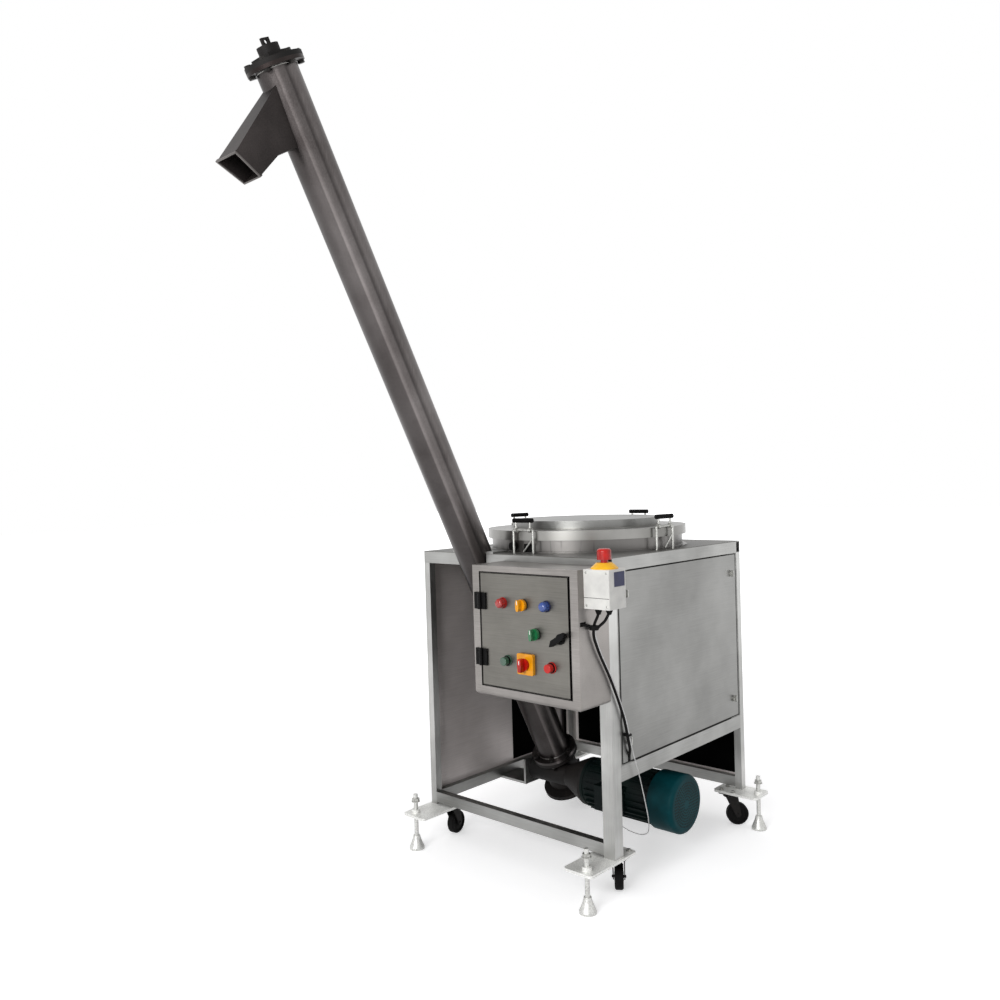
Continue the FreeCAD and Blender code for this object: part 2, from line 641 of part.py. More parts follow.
def make_panels():
    panel_y = FRONT + " + leg_wide + panel_side_gap"
    panel_z = "side_rail_z + side_rail_high + panel_gap"
    sheet = block("side_sheet", SIDE + " - skin", panel_y, panel_z, "skin",
                  "cab_d - leg_wide - leg_thin - 2*panel_side_gap",
                  "%s - side_rail_z - side_rail_high - 1.5*panel_gap" % RAIL_Z)
    spots = [(strip, level) for strip in ("strip_front", "strip_back") for level in ("low", "high")]
    holes = [rod("side_hole_%s_%s" % spot, SIDE + " - skin - 1", lock_y(spot[0]), lock_z(spot[1]),
                 "lock_bolt/2 + lock_room", "skin + 2", "x") for spot in spots]
    finish("side_panel_right", cut("side_panel_right", sheet, cable_slot("side_cable_slot"), *holes))

    screws = []
    for strip, level in spots:
        name = "wing_%s_%s" % (strip, level)
        shank = rod(name + "_shank", SIDE + " - skin - strip_t - 6", lock_y(strip), lock_z(level),
                    "lock_bolt/2", "skin + strip_t + 8", "x")
        head = rod(name + "_head", SIDE, lock_y(strip), lock_z(level), "lock_head/2", "4", "x")
        wing = block(name + "_wing", SIDE + " + 3", lock_y(strip) + " - 2",
                     lock_z(level) + " - lock_head*0.6", "9", "4", "lock_head*1.2")
        screws.append(fuse(name, shank, head, wing))
    finish("panel_screws", group("panel_screws", *screws))

    low_top = "low_rail_z + low_rail_high"
    high = "%s - low_rail_z - low_rail_high" % RAIL_Z
    left = doc.addObject("Part::Box", "side_panel_left")
    bind(left, Length="skin", Width="cab_d - 2*leg_thin", Height=high)
    finish("side_panel_left", left, "-" + SIDE, FRONT + " + leg_thin", low_top)
    rear = doc.addObject("Part::Box", "rear_panel")
    bind(rear, Length="cab_w - 2*leg_thin", Width="skin", Height=high)
    finish("rear_panel", rear, "-%s + leg_thin" % SIDE, BACK + " - skin", low_top)


def make_deck():
    sheet = block("deck_sheet", "-" + SIDE, FRONT, "deck_z - deck_t", "cab_w", "cab_d", "deck_t")
    hole = rod("deck_hole", "0", "drum_y", "deck_z - deck_t - 1", "drum_d/2 + 1", "deck_t + 2")
    notch = tube_rod("deck_notch", "0", TUBE_R + " + tube_room", "tube_len")
    slot = block("deck_slot", "tube_x - %s - tube_room - seat_room" % TUBE_R, FRONT + " - 1",
                 "deck_z - deck_t - 1", "tube_d + 2*tube_room + 2*seat_room", "tube_deck_y + cab_d/2 + 1",
                 "deck_t + 2")
    finish("deck", cut("deck", sheet, hole, notch, slot))


# Base plates, casters and levelling feet

def caster_spots():
    """Pin place and the direction in degrees in which each caster trails."""
    near = FRONT + " + caster_front"
    far = BACK + " - caster_back"
    right = SIDE + " - caster_in"
    return [("front_right", right, near, "125"), ("front_left", "-(%s)" % right, near, "100"),
            ("rear_right", right, far, "42"), ("rear_left", "-(%s)" % right, far, "75")]


def foot_spots():
    near = FRONT + " - foot_front"
    far = BACK + " - foot_back"
    return [("front_right", SIDE + " - foot_in", near), ("front_left", "-%s + foot_in" % SIDE, near),
            ("rear_right", SIDE + " + foot_out", far), ("rear_left", "-%s - foot_out" % SIDE, far)]


def make_base_plates():
    plates = []
    for name, x, y in foot_spots():
        wide = "front_plate_w" if "front" in name else "rear_plate_w"
        deep = "front_plate_len" if "front" in name else "rear_plate_len"
        reach = "plate_side_out" if "front" in name else "rear_side_out"
        start_y = FRONT + " - front_plate_out" if "front" in name else BACK + " + rear_plate_out - rear_plate_len"
        start_x = "%s + %s - %s" % (SIDE, reach, wide) if "right" in name else "-%s - %s" % (SIDE, reach)
        body = new_body("plate_" + name)
        sketch = new_sketch(body, "plate_%s_outline" % name, "XY_Plane")
        end_x = "(%s) + %s" % (start_x, wide)
        end_y = "(%s) + %s" % (start_y, deep)
        outline(sketch, [(start_x, start_y), (end_x, start_y), (end_x, end_y), (start_x, end_y)])
        circle(sketch, x, y, "stud_d/2 + shaft_room")
        pad(body, sketch, "plate_t")
        nut = new_sketch(body, "nut_%s_outline" % name, "XY_Plane", "plate_t")
        circle(nut, x, y, "weld_nut_d/2")
        circle(nut, x, y, "stud_d/2 + shaft_room")
        pad(body, nut, "weld_nut_t")
        soften(body, "weld_nut_t", lambda edge: is_upright(edge, num("plate_t")))
        place(body, "0", "0", "caster_high")
        plates.append(body)
    finish("base_plates", group("base_plates", *plates))


def is_upright(edge, length):
    """A straight upright edge of this length."""
    return (isinstance(edge.Curve, Part.Line) and abs(edge.Length - length) < 1e-4
            and abs(abs(edge.tangentAt(edge.FirstParameter).z) - 1) < 1e-6)


def make_casters():
    pads = []
    for name, x, y, turn in caster_spots():
        plate = block("pad_%s_plate" % name, "%s - pad_w/2" % x, "%s - pad_w/2" % y, "caster_high - pad_t",
                      "pad_w", "pad_w", "pad_t")
        pin_len = "pad_t/2 + 2*swivel_room + race_t"
        pin = rod("pad_%s_pin" % name, x, y, "caster_high - pad_t/2 - (%s)" % pin_len, "kingpin_d/2", pin_len)
        head = rod("pad_%s_head" % name, x, y,
                   "caster_high - pad_t - 2*swivel_room - race_t - kingpin_head_t",
                   "kingpin_head_d/2", "kingpin_head_t")
        pads.append(fuse("pad_" + name, plate, pin, head))

        label = "caster_fork_" + name
        body = new_body(label)
        race = new_sketch(body, label + "_race", "XY_Plane", "caster_high - pad_t - swivel_room - race_t")
        circle(race, "0", "0", "race_d/2")
        pad(body, race, "race_t")
        side = new_sketch(body, label + "_side", "XZ_Plane")
        race_low = "caster_high - pad_t - swivel_room - race_t"
        outline(side, [("-race_d/2 + 6", race_low + " + 2"), ("race_d/2 - 3", race_low + " + 2"),
                       ("trail + fork_eye_d/2", WHEEL_R),
                       ("trail + fork_eye_d/4", WHEEL_R + " - fork_eye_d/2.3"),
                       ("trail - fork_eye_d/4", WHEEL_R + " - fork_eye_d/2.3"),
                       ("trail - fork_eye_d/2", WHEEL_R)])
        pad(body, side, "wheel_w + 2*fork_room + 2*fork_t", both_sides=True)
        gap = new_sketch(body, label + "_gap", "XZ_Plane")
        outline(gap, [("-wheel_d", "-1"), ("wheel_d", "-1"), ("wheel_d", race_low), ("-wheel_d", race_low)])
        pocket(body, gap, "wheel_w + 2*fork_room", both_sides=True)
        axle = new_sketch(body, label + "_axle", "XZ_Plane")
        circle(axle, "trail", WHEEL_R, "axle_d/2")
        pad(body, axle, "wheel_w + 2*fork_room + 2*fork_t + 2*axle_out", both_sides=True)
        bore = new_sketch(body, label + "_bore", "XY_Plane", "caster_high - pad_t - swivel_room")
        circle(bore, "0", "0", "kingpin_d/2 + shaft_room")
        pocket(body, bore, "race_t + 2")
        finish(label, body, x, y, "0", Z_AXIS, turn)

        half = "wheel_w/2"
        wheel = turned("caster_wheel_" + name, [
            ("axle_d/2 + shaft_room", "-" + half), ("wheel_hub_d/2", "-" + half),
            ("wheel_hub_d/2", "-%s + wheel_dish" % half), ("wheel_rim_d/2", "-%s + wheel_dish" % half),
            ("wheel_rim_d/2", "-%s + 1" % half), (WHEEL_R + " - tread_round", "-%s + 1" % half),
            (WHEEL_R, "-%s + 1 + tread_round" % half), (WHEEL_R, "%s - 1 - tread_round" % half),
            (WHEEL_R + " - tread_round", half + " - 1"), ("wheel_rim_d/2", half + " - 1"),
            ("wheel_rim_d/2", half + " - wheel_dish"), ("wheel_hub_d/2", half + " - wheel_dish"),
            ("wheel_hub_d/2", half), ("axle_d/2 + shaft_room", half)], "XY_Plane")
        finish("caster_wheel_" + name, wheel, "%s + trail*cos(%s)" % (x, turn),
               "%s + trail*sin(%s)" % (y, turn), WHEEL_R, Z_AXIS, turn)
    finish("caster_pads", group("caster_pads", *pads))


def make_feet():
    for name, x, y in foot_spots():
        label = "levelling_foot_" + name
        body = turned(label, [("0", "0"), ("bell_d/2", "0"), ("bell_d/2", "bell_rim"),
                              ("bell_neck_d/2 + 3", "bell_high*0.72"), ("bell_neck_d/2", "bell_high"),
                              ("stud_d/2", "bell_high"), ("stud_d/2", "stud_top"), ("0", "stud_top")])
        finish(label, body, x, y, "0")


# Conveyor

def bolt_holes(name, along, length, radius):
    """Cylinders for the holes of a flange, round the tube's axis."""
    return [tube_rod("%s_%d" % (name, i), along, radius, length,
                     "bolt_circle/2*cos(360*%d/bolt_count + 30)" % i,
                     "bolt_circle/2*sin(360*%d/bolt_count + 30)" % i) for i in range(int(num("bolt_count")))]


def spout_prism(name, inset, reach):
    """The spout's side profile between two side walls that draw together towards the tube. All are drawn
    inwards by inset, and the profile is lengthened past the mouth by reach."""
    profile = new_body(name + "_profile")
    pad(profile, outline(new_sketch(profile, name + "_side", "YZ_Plane"), spout_outline(inset, reach)),
        "2*spout_w", both_sides=True)
    draw_in = "(spout_w - spout_root_w)/2/(root_low_y - lip_high_y)"
    wide = "(spout_w/2 + 60*%s - (%s))" % (draw_in, inset)
    narrow = "(spout_root_w/2 - 20*%s - (%s))" % (draw_in, inset)
    plan = new_body(name + "_plan")
    pad(plan, outline(new_sketch(plan, name + "_top", "XY_Plane"),
                      [("-" + wide, "lip_high_y - 60"), (wide, "lip_high_y - 60"),
                       (narrow, "root_low_y + 20"), ("-" + narrow, "root_low_y + 20")]),
        "-3*lip_low_z", both_sides=True)
    both = doc.addObject("Part::Common", name)
    both.Base = place(profile, "tube_x", TOP_Y, TOP_Z)
    both.Tool = place(plan, "tube_x", TOP_Y, TOP_Z)
    return both


def spout_outline(inset, reach):
    """Five corners of the side profile: the lips, the lower wall's bend and the roots at the tube's middle."""
    high = ("lip_high_y + (lip_high_y - root_high_y)/293*(%s) + 0.84*(%s)" % (reach, inset),
            "lip_high_z + (lip_high_z - root_high_z)/293*(%s) - 0.54*(%s)" % (reach, inset))
    low = ("lip_low_y + (lip_low_y - knee_y)/98*(%s) - 0.76*(%s)" % (reach, inset),
           "lip_low_z + (lip_low_z - knee_z)/98*(%s) + 0.65*(%s)" % (reach, inset))
    knee = ("knee_y - 0.65*(%s)" % inset, "knee_z + 0.77*(%s)" % inset)
    return [high, low, knee, ("root_low_y - 0.52*(%s)" % inset, "root_low_z + 0.86*(%s)" % inset),
            ("root_high_y + 0.84*(%s)" % inset, "root_high_z - 0.54*(%s)" % inset)]


def make_tube():
    pipe = tube_rod("tube_outside", "0", TUBE_R, "tube_len")
    low = tube_rod("tube_flange_low", "0", "flange_d/2", "flange_t")
    high = tube_rod("tube_flange_high", "tube_len - flange_t", "flange_d/2", "flange_t")
    chute_low = "(tube_foot_z + (%s - chute_y)/tan(lean))" % LOW_Y
    chute = rod("chute_outside", "tube_x", "chute_y", chute_low, "chute_d/2", "cone_foot - %s" % chute_low)
    collar = rod("chute_flange", "tube_x", "chute_y", "cone_foot - chute_flange_t", "chute_flange_d/2",
                 "chute_flange_t")
    bore = tube_rod("tube_inside", "-1", TUBE_R + " - tube_wall", "tube_len + 2")
    chute_bore = rod("chute_inside", "tube_x", "chute_y", chute_low, "chute_d/2 - drum_t",
                     "cone_foot + 1 - %s" % chute_low)
    window = spout_prism("tube_window", "spout_wall + 1", "0")
    solid = fuse("tube_solid", pipe, low, high, chute, collar)
    holes = bolt_holes("tube_low_hole", "-1", "flange_t + 2", "bolt_d/2 + bolt_room")
    holes += bolt_holes("tube_high_hole", "tube_len - flange_t - 1", "flange_t + 2", "bolt_d/2 + bolt_room")
    finish("conveyor_tube", cut("conveyor_tube", solid, bore, chute_bore, window, *holes))


def make_spout():
    outside = spout_prism("spout_outside", "0", "0")
    band = spout_prism("spout_band", "-rim_t", "0")
    inside = spout_prism("spout_inside", "spout_wall", "40")
    keep = spout_band_zone("spout_band_zone")
    rim_band = doc.addObject("Part::Common", "spout_rim")
    rim_band.Base = band
    rim_band.Tool = keep
    tube_room = tube_rod("spout_tube_room", "0", TUBE_R, "tube_len")
    solid = fuse("spout_solid", outside, rim_band)
    finish("discharge_spout", cut("discharge_spout", solid, inside, tube_room))


def spout_band_zone(name):
    """The zone of the rim band: a strip along the mouth."""
    body = new_body(name)
    sketch = new_sketch(body, name + "_side", "YZ_Plane")
    back_y = "rim_w*(root_high_y - lip_high_y)/293"
    back_z = "rim_w*(root_high_z - lip_high_z)/293"
    outline(sketch, [("lip_high_y - 6", "lip_high_z + 2"), ("lip_low_y + 6", "lip_low_z - 3.4"),
                     ("lip_low_y + 6 + " + back_y, "lip_low_z - 3.4 + " + back_z),
                     ("lip_high_y - 6 + " + back_y, "lip_high_z + 2 + " + back_z)])
    pad(body, sketch, "2*spout_w", both_sides=True)
    return place(body, "tube_x", TOP_Y, TOP_Z)


def make_top_end():
    cover = tube_rod("cover_disc", "tube_len", "flange_d/2", "cover_t")
    bore = tube_rod("cover_bore", "tube_len - 1", "journal_d/2 + 2", "cover_t + 2")
    holes = bolt_holes("cover_hole", "tube_len - 1", "cover_t + 2", "bolt_d/2 + bolt_room")
    finish("end_cover", cut("end_cover", cover, bore, *holes))

    top = "tube_len + cover_t"
    foot = tube_block("bearing_foot", top, "-bearing_w/2", "-bearing_w/2", "bearing_w", "bearing_w",
                      "bearing_t")
    hub = tube_rod("bearing_hub", top, "bearing_hub_d/2", "bearing_hub_high")
    eye = tube_block("bearing_eye", top + " + bearing_hub_high - 2", "-eye_w/2", "-eye_t/2", "eye_t", "eye_w",
                     "eye_high + 2")
    bore = tube_rod("bearing_bore", top + " - 1", "journal_d/2 + shaft_room", "bearing_hub_high - 5")
    hole = doc.addObject("Part::Cylinder", "bearing_eye_hole")
    bind(hole, Radius="eye_hole_d/2", Height="2*eye_t")
    eye_along = "(tube_len + cover_t + bearing_hub_high + eye_high/2)"
    place(hole, "tube_x - eye_t", "%s - sin(lean)*%s" % (LOW_Y, eye_along),
          "tube_foot_z + cos(lean)*%s" % eye_along, Y_AXIS, "90")
    finish("top_bearing", cut("top_bearing", fuse("bearing_solid", foot, hub, eye), bore, hole))

    bolts = []
    places = [("top", "tube_len + cover_t", "-flange_t - cover_t - bolt_head_t"),
              ("low", "flange_t", "-flange_t - case_top - bolt_head_t")]
    for where, head_along, nut_off in places:
        for i in range(int(num("bolt_count"))):
            off = "bolt_circle/2*cos(360*%d/bolt_count + 30)" % i
            side = "bolt_circle/2*sin(360*%d/bolt_count + 30)" % i
            name = "bolt_%s_%d" % (where, i)
            shank = tube_rod(name + "_shank", "%s + (%s)" % (head_along, nut_off), "bolt_d/2",
                             "2 - (%s)" % nut_off, off, side)
            ends = []
            for end, along in (("head", head_along), ("nut", "%s + (%s)" % (head_along, nut_off))):
                hexagon = doc.addObject("Part::Prism", "%s_%s" % (name, end))
                hexagon.Polygon = 6
                bind(hexagon, Circumradius="bolt_head_d/2", Height="bolt_head_t")
                ends.append(place_on_tube(hexagon, along, off, side))
            bolts.append(fuse(name, shank, *ends))
    finish("flange_bolts", group("flange_bolts", *bolts))


def make_screw():
    end = "tube_len + cover_t + bearing_hub_high - 8"
    low = "-case_drop + 12"
    shaft = turned("screw_shaft", [
        ("0", low), ("journal_d/2", low), ("journal_d/2", "4"), ("shaft_d/2", "4"),
        ("shaft_d/2", "tube_len - 12"), ("journal_d/2", "tube_len - 12"), ("journal_d/2", end), ("0", end)])
    shaft.Label = "screw_shaft"
    place_on_tube(shaft, shift="origin")
    PIECES.append(shaft)

    flight = doc.addObject("Part::Feature", "screw_flight")
    flight.Shape = helical_band(num("shaft_d/2 - flight_weld"), num("flight_d/2"), num("flight_pitch"),
                                num("(tube_len - flight_start - flight_end)/flight_pitch"), num("flight_t"),
                                14)
    flight.Label = "screw_flight"
    place_on_tube(flight, "flight_start", shift="origin")
    PIECES.append(flight)


# Gearbox and motor

def make_gearbox():
    drop = "(-gear_drop)"
    case = tube_rod("case_body", "-case_drop", "case_d/2", "case_drop")
    top = tube_rod("case_flange", "-case_top", "flange_d/2", "case_top")
    neck = tube_rod("case_neck", "-foot_flange_drop", "case_neck_d/2", "foot_flange_drop - case_drop + 2")
    foot = tube_rod("case_foot", "-foot_flange_drop", "foot_flange_d/2", "foot_flange_t")
    left = "tube_x - worm_case_left"
    worm_case = rod("case_worm", left, WORM_Y, WORM_Z, "worm_case_d/2", "worm_case_left + worm_case_right",
                    "x")
    adaptor = doc.addObject("Part::Cone", "case_adaptor")
    bind(adaptor, Radius1="worm_case_d/2", Radius2="motor_flange_d/2",
         Height="motor_x - motor_flange_t - tube_x - worm_case_right")
    place(adaptor, "tube_x + worm_case_right", WORM_Y, WORM_Z, Y_AXIS, "90")
    face = rod("case_face", "motor_x - motor_flange_t", WORM_Y, WORM_Z, "motor_flange_d/2", "motor_flange_t",
               "x")
    wheel_room = tube_rod("case_wheel_room", "-gear_drop - gear_w/2 - gear_room",
                          "module_mm*teeth/2 + gear_add + gear_room", "gear_w + 2*gear_room")
    worm_r = "worm_pitch_d/2 + gear_add + gear_room/2"
    worm_span = "module_mm*pi*(gear_turns + 2)"
    worm_room = rod("case_worm_room", "tube_x - %s/2" % worm_span, WORM_Y, WORM_Z, worm_r, worm_span, "x")
    worm_bore = rod("case_worm_bore", left + " + case_wall", WORM_Y, WORM_Z, "worm_shaft_d/2 + shaft_room",
                    "motor_x - tube_x + worm_case_left", "x")
    shaft_bore = tube_rod("case_shaft_bore", "-case_drop + 6", "journal_d/2 + shaft_room", "case_drop")
    holes = bolt_holes("case_hole", "-case_top - 1", "case_top + 2", "bolt_d/2 + bolt_room")
    solid = fuse("case_solid", case, top, neck, foot, worm_case, adaptor, face)
    spot_faces = bolt_holes("case_spot_face", "-case_top - 20", "20", "bolt_head_d/2 + 1")
    finish("gearbox_housing",
           cut("gearbox_housing", solid, wheel_room, worm_room, worm_bore, shaft_bore, *holes,
                                  *spot_faces))

    wheel = doc.addObject("Part::Feature", "worm_wheel")
    wheel.Shape = worm_wheel_shape()
    wheel.Label = "worm_wheel"
    place_on_tube(wheel, "-gear_drop - gear_w/2", shift="origin")
    PIECES.append(wheel)

    worm = doc.addObject("Part::Feature", "worm_shaft")
    worm.Shape = worm_shape()
    worm.Label = "worm_shaft"
    tilt = math.radians(num("lean"))
    turn = Rotation(FreeCAD.Matrix(0, 0, 1, 0, math.cos(tilt), -math.sin(tilt), 0, 0,
                                   math.sin(tilt), math.cos(tilt), 0, 0, 0, 0, 0, 1))
    place(worm, "tube_x - origin_x", WORM_Y + " - origin_y", WORM_Z)
    worm.Placement = Placement(worm.Placement.Base, turn)
    PIECES.append(worm)


def worm_wheel_shape():
    """A spur-cut worm wheel: straight-sided teeth with a gap towards the worm, on a hub for the shaft."""
    pitch_r = num("module_mm*teeth/2")
    tip_r = pitch_r + num("gear_add")
    root_r = pitch_r - num("gear_ded")
    count = int(num("teeth"))
    half = num("wheel_tooth_t") / 2 / pitch_r
    corners = []
    for i in range(count):
        middle = -math.pi / 2 + 2 * math.pi * (i + 0.5) / count
        for radius, angle in ((root_r, -1.5 * half), (tip_r, -0.6 * half), (tip_r, 0.6 * half),
                              (root_r, 1.5 * half)):
            corners.append(Vector(radius * math.cos(middle + angle), radius * math.sin(middle + angle), 0))
    blank = Part.Face(Part.makePolygon(corners + corners[:1])).extrude(Vector(0, 0, num("gear_w")))
    bore = Part.makeCylinder(num("journal_d/2"), num("gear_w"))
    return blank.cut(bore)


def worm_shape():
    """The worm shaft with its thread, along z, a thread's middle facing the wheel at height 0."""
    pitch = math.pi * num("module_mm")
    turns = int(num("gear_turns"))
    root_r = num("worm_shaft_d/2")
    core = Part.makeCylinder(root_r, num("worm_case_left - case_wall - 3 + motor_x - tube_x + 30"),
                             Vector(0, 0, -num("worm_case_left - case_wall - 3")))
    thread = helical_band(root_r - 0.6, num("worm_pitch_d/2 + gear_add"), pitch, turns, num("worm_tooth_t"),
                          12)
    thread.translate(Vector(0, 0, -pitch * ((turns - 1) // 2)))
    return core.fuse(thread)


def make_motor():
    flange = rod("motor_flange", "motor_x", WORM_Y, WORM_Z, "motor_flange_d/2", "motor_flange_t", "x")
    frame = rod("motor_frame", "motor_x", WORM_Y, WORM_Z, "motor_d/2", "motor_len", "x")
    fins = []
    for i in range(int(num("fin_count")) // 2):
        fin = doc.addObject("Part::Box", "motor_fin_%d" % i)
        bind(fin, Length="motor_len - 2*motor_flange_t - 14", Width="motor_d + 2*fin_high", Height="fin_t")
        angle = 360.0 * i / num("fin_count")
        c = math.cos(math.radians(angle))
        s = math.sin(math.radians(angle))
        place(fin, "motor_x + motor_flange_t + 10",
              "%s - %.6f*(motor_d/2 + fin_high) + %.6f*fin_t/2" % (WORM_Y, c, s),
              "%s - %.6f*(motor_d/2 + fin_high) - %.6f*fin_t/2" % (WORM_Z, s, c), X_AXIS, "%.6f" % angle)
        fins.append(fin)
    box = block("motor_terminal_box", "term_x - term_w/2", WORM_Y + " - motor_d/2 - term_deep",
                WORM_Z + " - term_high/2", "term_w", "term_deep + 30", "term_high")
    bore = rod("motor_bore", "motor_x - 1", WORM_Y, WORM_Z, "worm_shaft_d/2 + shaft_room", "40", "x")
    finish("motor_body", cut("motor_body", fuse("motor_solid", flange, frame, box, *fins), bore))

    outer = "cowl_d/2"
    body = turned("fan_cowl", [("motor_d/2", "0"), (outer, "0"), (outer, "cowl_len"), ("0", "cowl_len"),
                               ("0", "cowl_len - cowl_wall"),
                               (outer + " - cowl_wall", "cowl_len - cowl_wall"),
                               (outer + " - cowl_wall", "cowl_wall"), ("motor_d/2", "cowl_wall")])
    soften(body, "cowl_round - cowl_wall", rim("cowl_d/2 - cowl_wall", "cowl_len - cowl_wall"))
    soften(body, "cowl_round", rim("cowl_d/2", "cowl_len"))
    finish("fan_cowl", body, "motor_x + motor_len", WORM_Y, WORM_Z, Y_AXIS, "90")


def make_brackets():
    plate = block("collar_plate", "tube_x - collar_w/2", FRONT, "deck_z", "collar_w", "collar_len",
                  "collar_t")
    hole = tube_rod("collar_hole", "0", TUBE_R + " + seat_room", "tube_len")
    slot = block("collar_slot", "tube_x - %s - 2*seat_room" % TUBE_R, FRONT + " - 1", "deck_z - 1",
                 "tube_d + 4*seat_room", "tube_deck_y + cab_d/2 + 1", "collar_t + 2")
    seat = rod("collar_seat", "0", "drum_y", "deck_z - 1", "seat_d/2 + seat_room", "collar_t + 2")
    collar = cut("tube_collar", plate, hole, slot, seat)

    left = "(tube_x - worm_case_left)"
    upright = block("bracket_upright", left + " - bracket_t", WORM_Y + " - bracket_d/2", "low_rail_z",
                    "bracket_t", "bracket_d", "bracket_high")
    shelf = block("bracket_shelf", "-%s + leg_thin" % SIDE, WORM_Y + " - bracket_d/2", "low_rail_z",
                  "%s + %s - leg_thin" % (left, SIDE), "bracket_d", "bracket_t")
    finish("conveyor_brackets", group("conveyor_brackets", collar, fuse("gearbox_bracket", upright, shelf)))


# Hopper

def make_hopper():
    r = "(drum_d/2)"
    inner = "(drum_d/2 - drum_t)"
    hoop = "(hoop_d/2)"
    neck = "(neck_d/2)"
    wall = turned("wall_section", [
        (inner, "cone_top"), (r, "cone_top"), (r, "deck_z"), ("seat_d/2", "deck_z"),
        ("seat_d/2", "deck_z + drum_t"), (r, "deck_z + drum_t"), (r, "hoop_low"), (inner, "hoop_low")])
    shoulder = turned("shoulder_section", [
        (inner, "hoop_low"), (hoop, "hoop_low"), (hoop, "hoop_high"), (neck, "hoop_high"),
        (neck, "lid_z - lid_t"), (neck + " - drum_t", "lid_z - lid_t"),
        (neck + " - drum_t", "hoop_high - drum_t"),
        (hoop + " - drum_t", "hoop_high - drum_t"), (hoop + " - drum_t", "hoop_low + drum_t"),
        (inner, "hoop_low + drum_t")])
    for ring in (wall, shoulder):
        place(ring, "0", "drum_y", "0")
    shells = []
    for name, shrink in (("cone_outside", "0"), ("cone_inside", "drum_t")):
        rings = []
        for end, x, y, z, radius in (("top", "0", "drum_y", "cone_top", r),
                                     ("foot", "tube_x", "chute_y", "cone_foot", "(chute_d/2)")):
            ring = doc.addObject("Part::Circle", "%s_%s" % (name, end))
            bind(ring, Radius="%s - %s" % (radius, shrink))
            rings.append(place(ring, x, y, z))
        loft = doc.addObject("Part::Loft", name)
        loft.Sections = rings
        loft.Solid = True
        loft.Ruled = True
        shells.append(loft)
    collar = rod("cone_flange", "tube_x", "chute_y", "cone_foot", "chute_flange_d/2", "chute_flange_t")
    cone = cut("hopper_cone", fuse("cone_solid", shells[0], collar), shells[1])
    # Three sheets, rolled one by one and welded edge to edge
    finish("hopper_drum", group("hopper_drum", wall, shoulder, cone))

    skirt = "(neck_d/2 + lid_room + lid_t)"
    lid = turned("hopper_lid", [("0", "lid_z - lid_t"), (skirt + " - lid_t", "lid_z - lid_t"),
                                (skirt + " - lid_t", "lid_z - lid_skirt"), (skirt, "lid_z - lid_skirt"),
                                (skirt, "lid_z"), ("0", "lid_z")])
    finish("hopper_lid", lid, "0", "drum_y", "0")


def latch_angles():
    """Bearings of the latches round the hopper, in degrees: two opposite pairs."""
    return [("front", "-87.5"), ("right", "-7.5"), ("back", "92.5"), ("left", "172.5")]


def make_latches():
    brackets = []
    for name, bearing in latch_angles():
        bars = []
        for side in ("-1", "1"):
            post = doc.addObject("Part::Cylinder", "post_%s_%s" % (name, "a" if side == "1" else "b"))
            bind(post, Radius="latch_bar_d/2", Height="latch_pivot_z - deck_z")
            bars.append(at_latch(post, bearing, side + "*latch_half", "deck_z"))
        bar = doc.addObject("Part::Cylinder", "crossbar_" + name)
        bind(bar, Radius="latch_bar_d/2", Height="2*latch_half")
        angle = math.radians(float(bearing))
        place_latch_bar(bar, bearing, "-latch_half", "latch_pivot_z")
        brace = doc.addObject("Part::Cylinder", "brace_" + name)
        bind(brace, Radius="latch_bar_d/2 - 1", Height="sqrt(latch_half^2 + (latch_pivot_z - deck_z - 30)^2)")
        rise = math.degrees(math.atan2(num("latch_half"), num("latch_pivot_z - deck_z - 30")))
        spot = latch_spot(bearing, "0", "deck_z + 4")
        across = Vector(-math.sin(angle), math.cos(angle), 0)
        outwards = Vector(math.cos(angle), math.sin(angle), 0)
        brace.Placement = Placement(Vector(0, 0, 0), Rotation(outwards, -rise))
        bind_base(brace, spot)
        bars += [bar, brace]
        brackets.append(fuse("bracket_" + name, *bars))

        parts = []
        for side, start in (("a", "lever_half - lever_eye_w/2"), ("b", "-lever_half - lever_eye_w/2")):
            eye = doc.addObject("Part::Cylinder", "lever_eye_%s_%s" % (name, side))
            bind(eye, Radius="lever_eye_d/2", Height="lever_eye_w")
            parts.append(place_latch_bar(eye, bearing, start, "latch_pivot_z"))
            arm = doc.addObject("Part::Cylinder", "lever_arm_%s_%s" % (name, side))
            bind(arm, Radius="latch_bar_d/2 - 0.5", Height="lever_high - latch_bar_d/2")
            parts.append(at_latch(arm, bearing, start + " + lever_eye_w/2",
                                  "latch_pivot_z + latch_bar_d/2 + 1"))
        grip = doc.addObject("Part::Cylinder", "lever_grip_" + name)
        bind(grip, Radius="grip_d/2", Height="2*lever_half + 2*grip_d/2 + 8")
        parts.append(place_latch_bar(grip, bearing, "-lever_half - grip_d/2 - 4",
                                     "latch_pivot_z + lever_high"))
        bore = doc.addObject("Part::Cylinder", "lever_bore_" + name)
        bind(bore, Radius="latch_bar_d/2 + shaft_room", Height="4*lever_half")
        place_latch_bar(bore, bearing, "-2*lever_half", "latch_pivot_z")
        finish("latch_lever_" + name, cut("latch_lever_" + name, fuse("lever_solid_" + name, *parts), bore))
    finish("latch_brackets", group("latch_brackets", *brackets))


def latch_spot(bearing, across, z):
    """A place at the latch's radius, across it to the left as seen from the hopper's axis."""
    return ("latch_r*cos(%s) - (%s)*sin(%s)" % (bearing, across, bearing),
            "drum_y + latch_r*sin(%s) + (%s)*cos(%s)" % (bearing, across, bearing), z)


def bind_base(item, spot):
    for name, text in zip("xyz", spot):
        item.setExpression("Placement.Base." + name, ex(text))
    return item


def at_latch(item, bearing, across, z):
    item.Placement = Placement(Vector(0, 0, 0), Rotation())
    return bind_base(item, latch_spot(bearing, across, z))


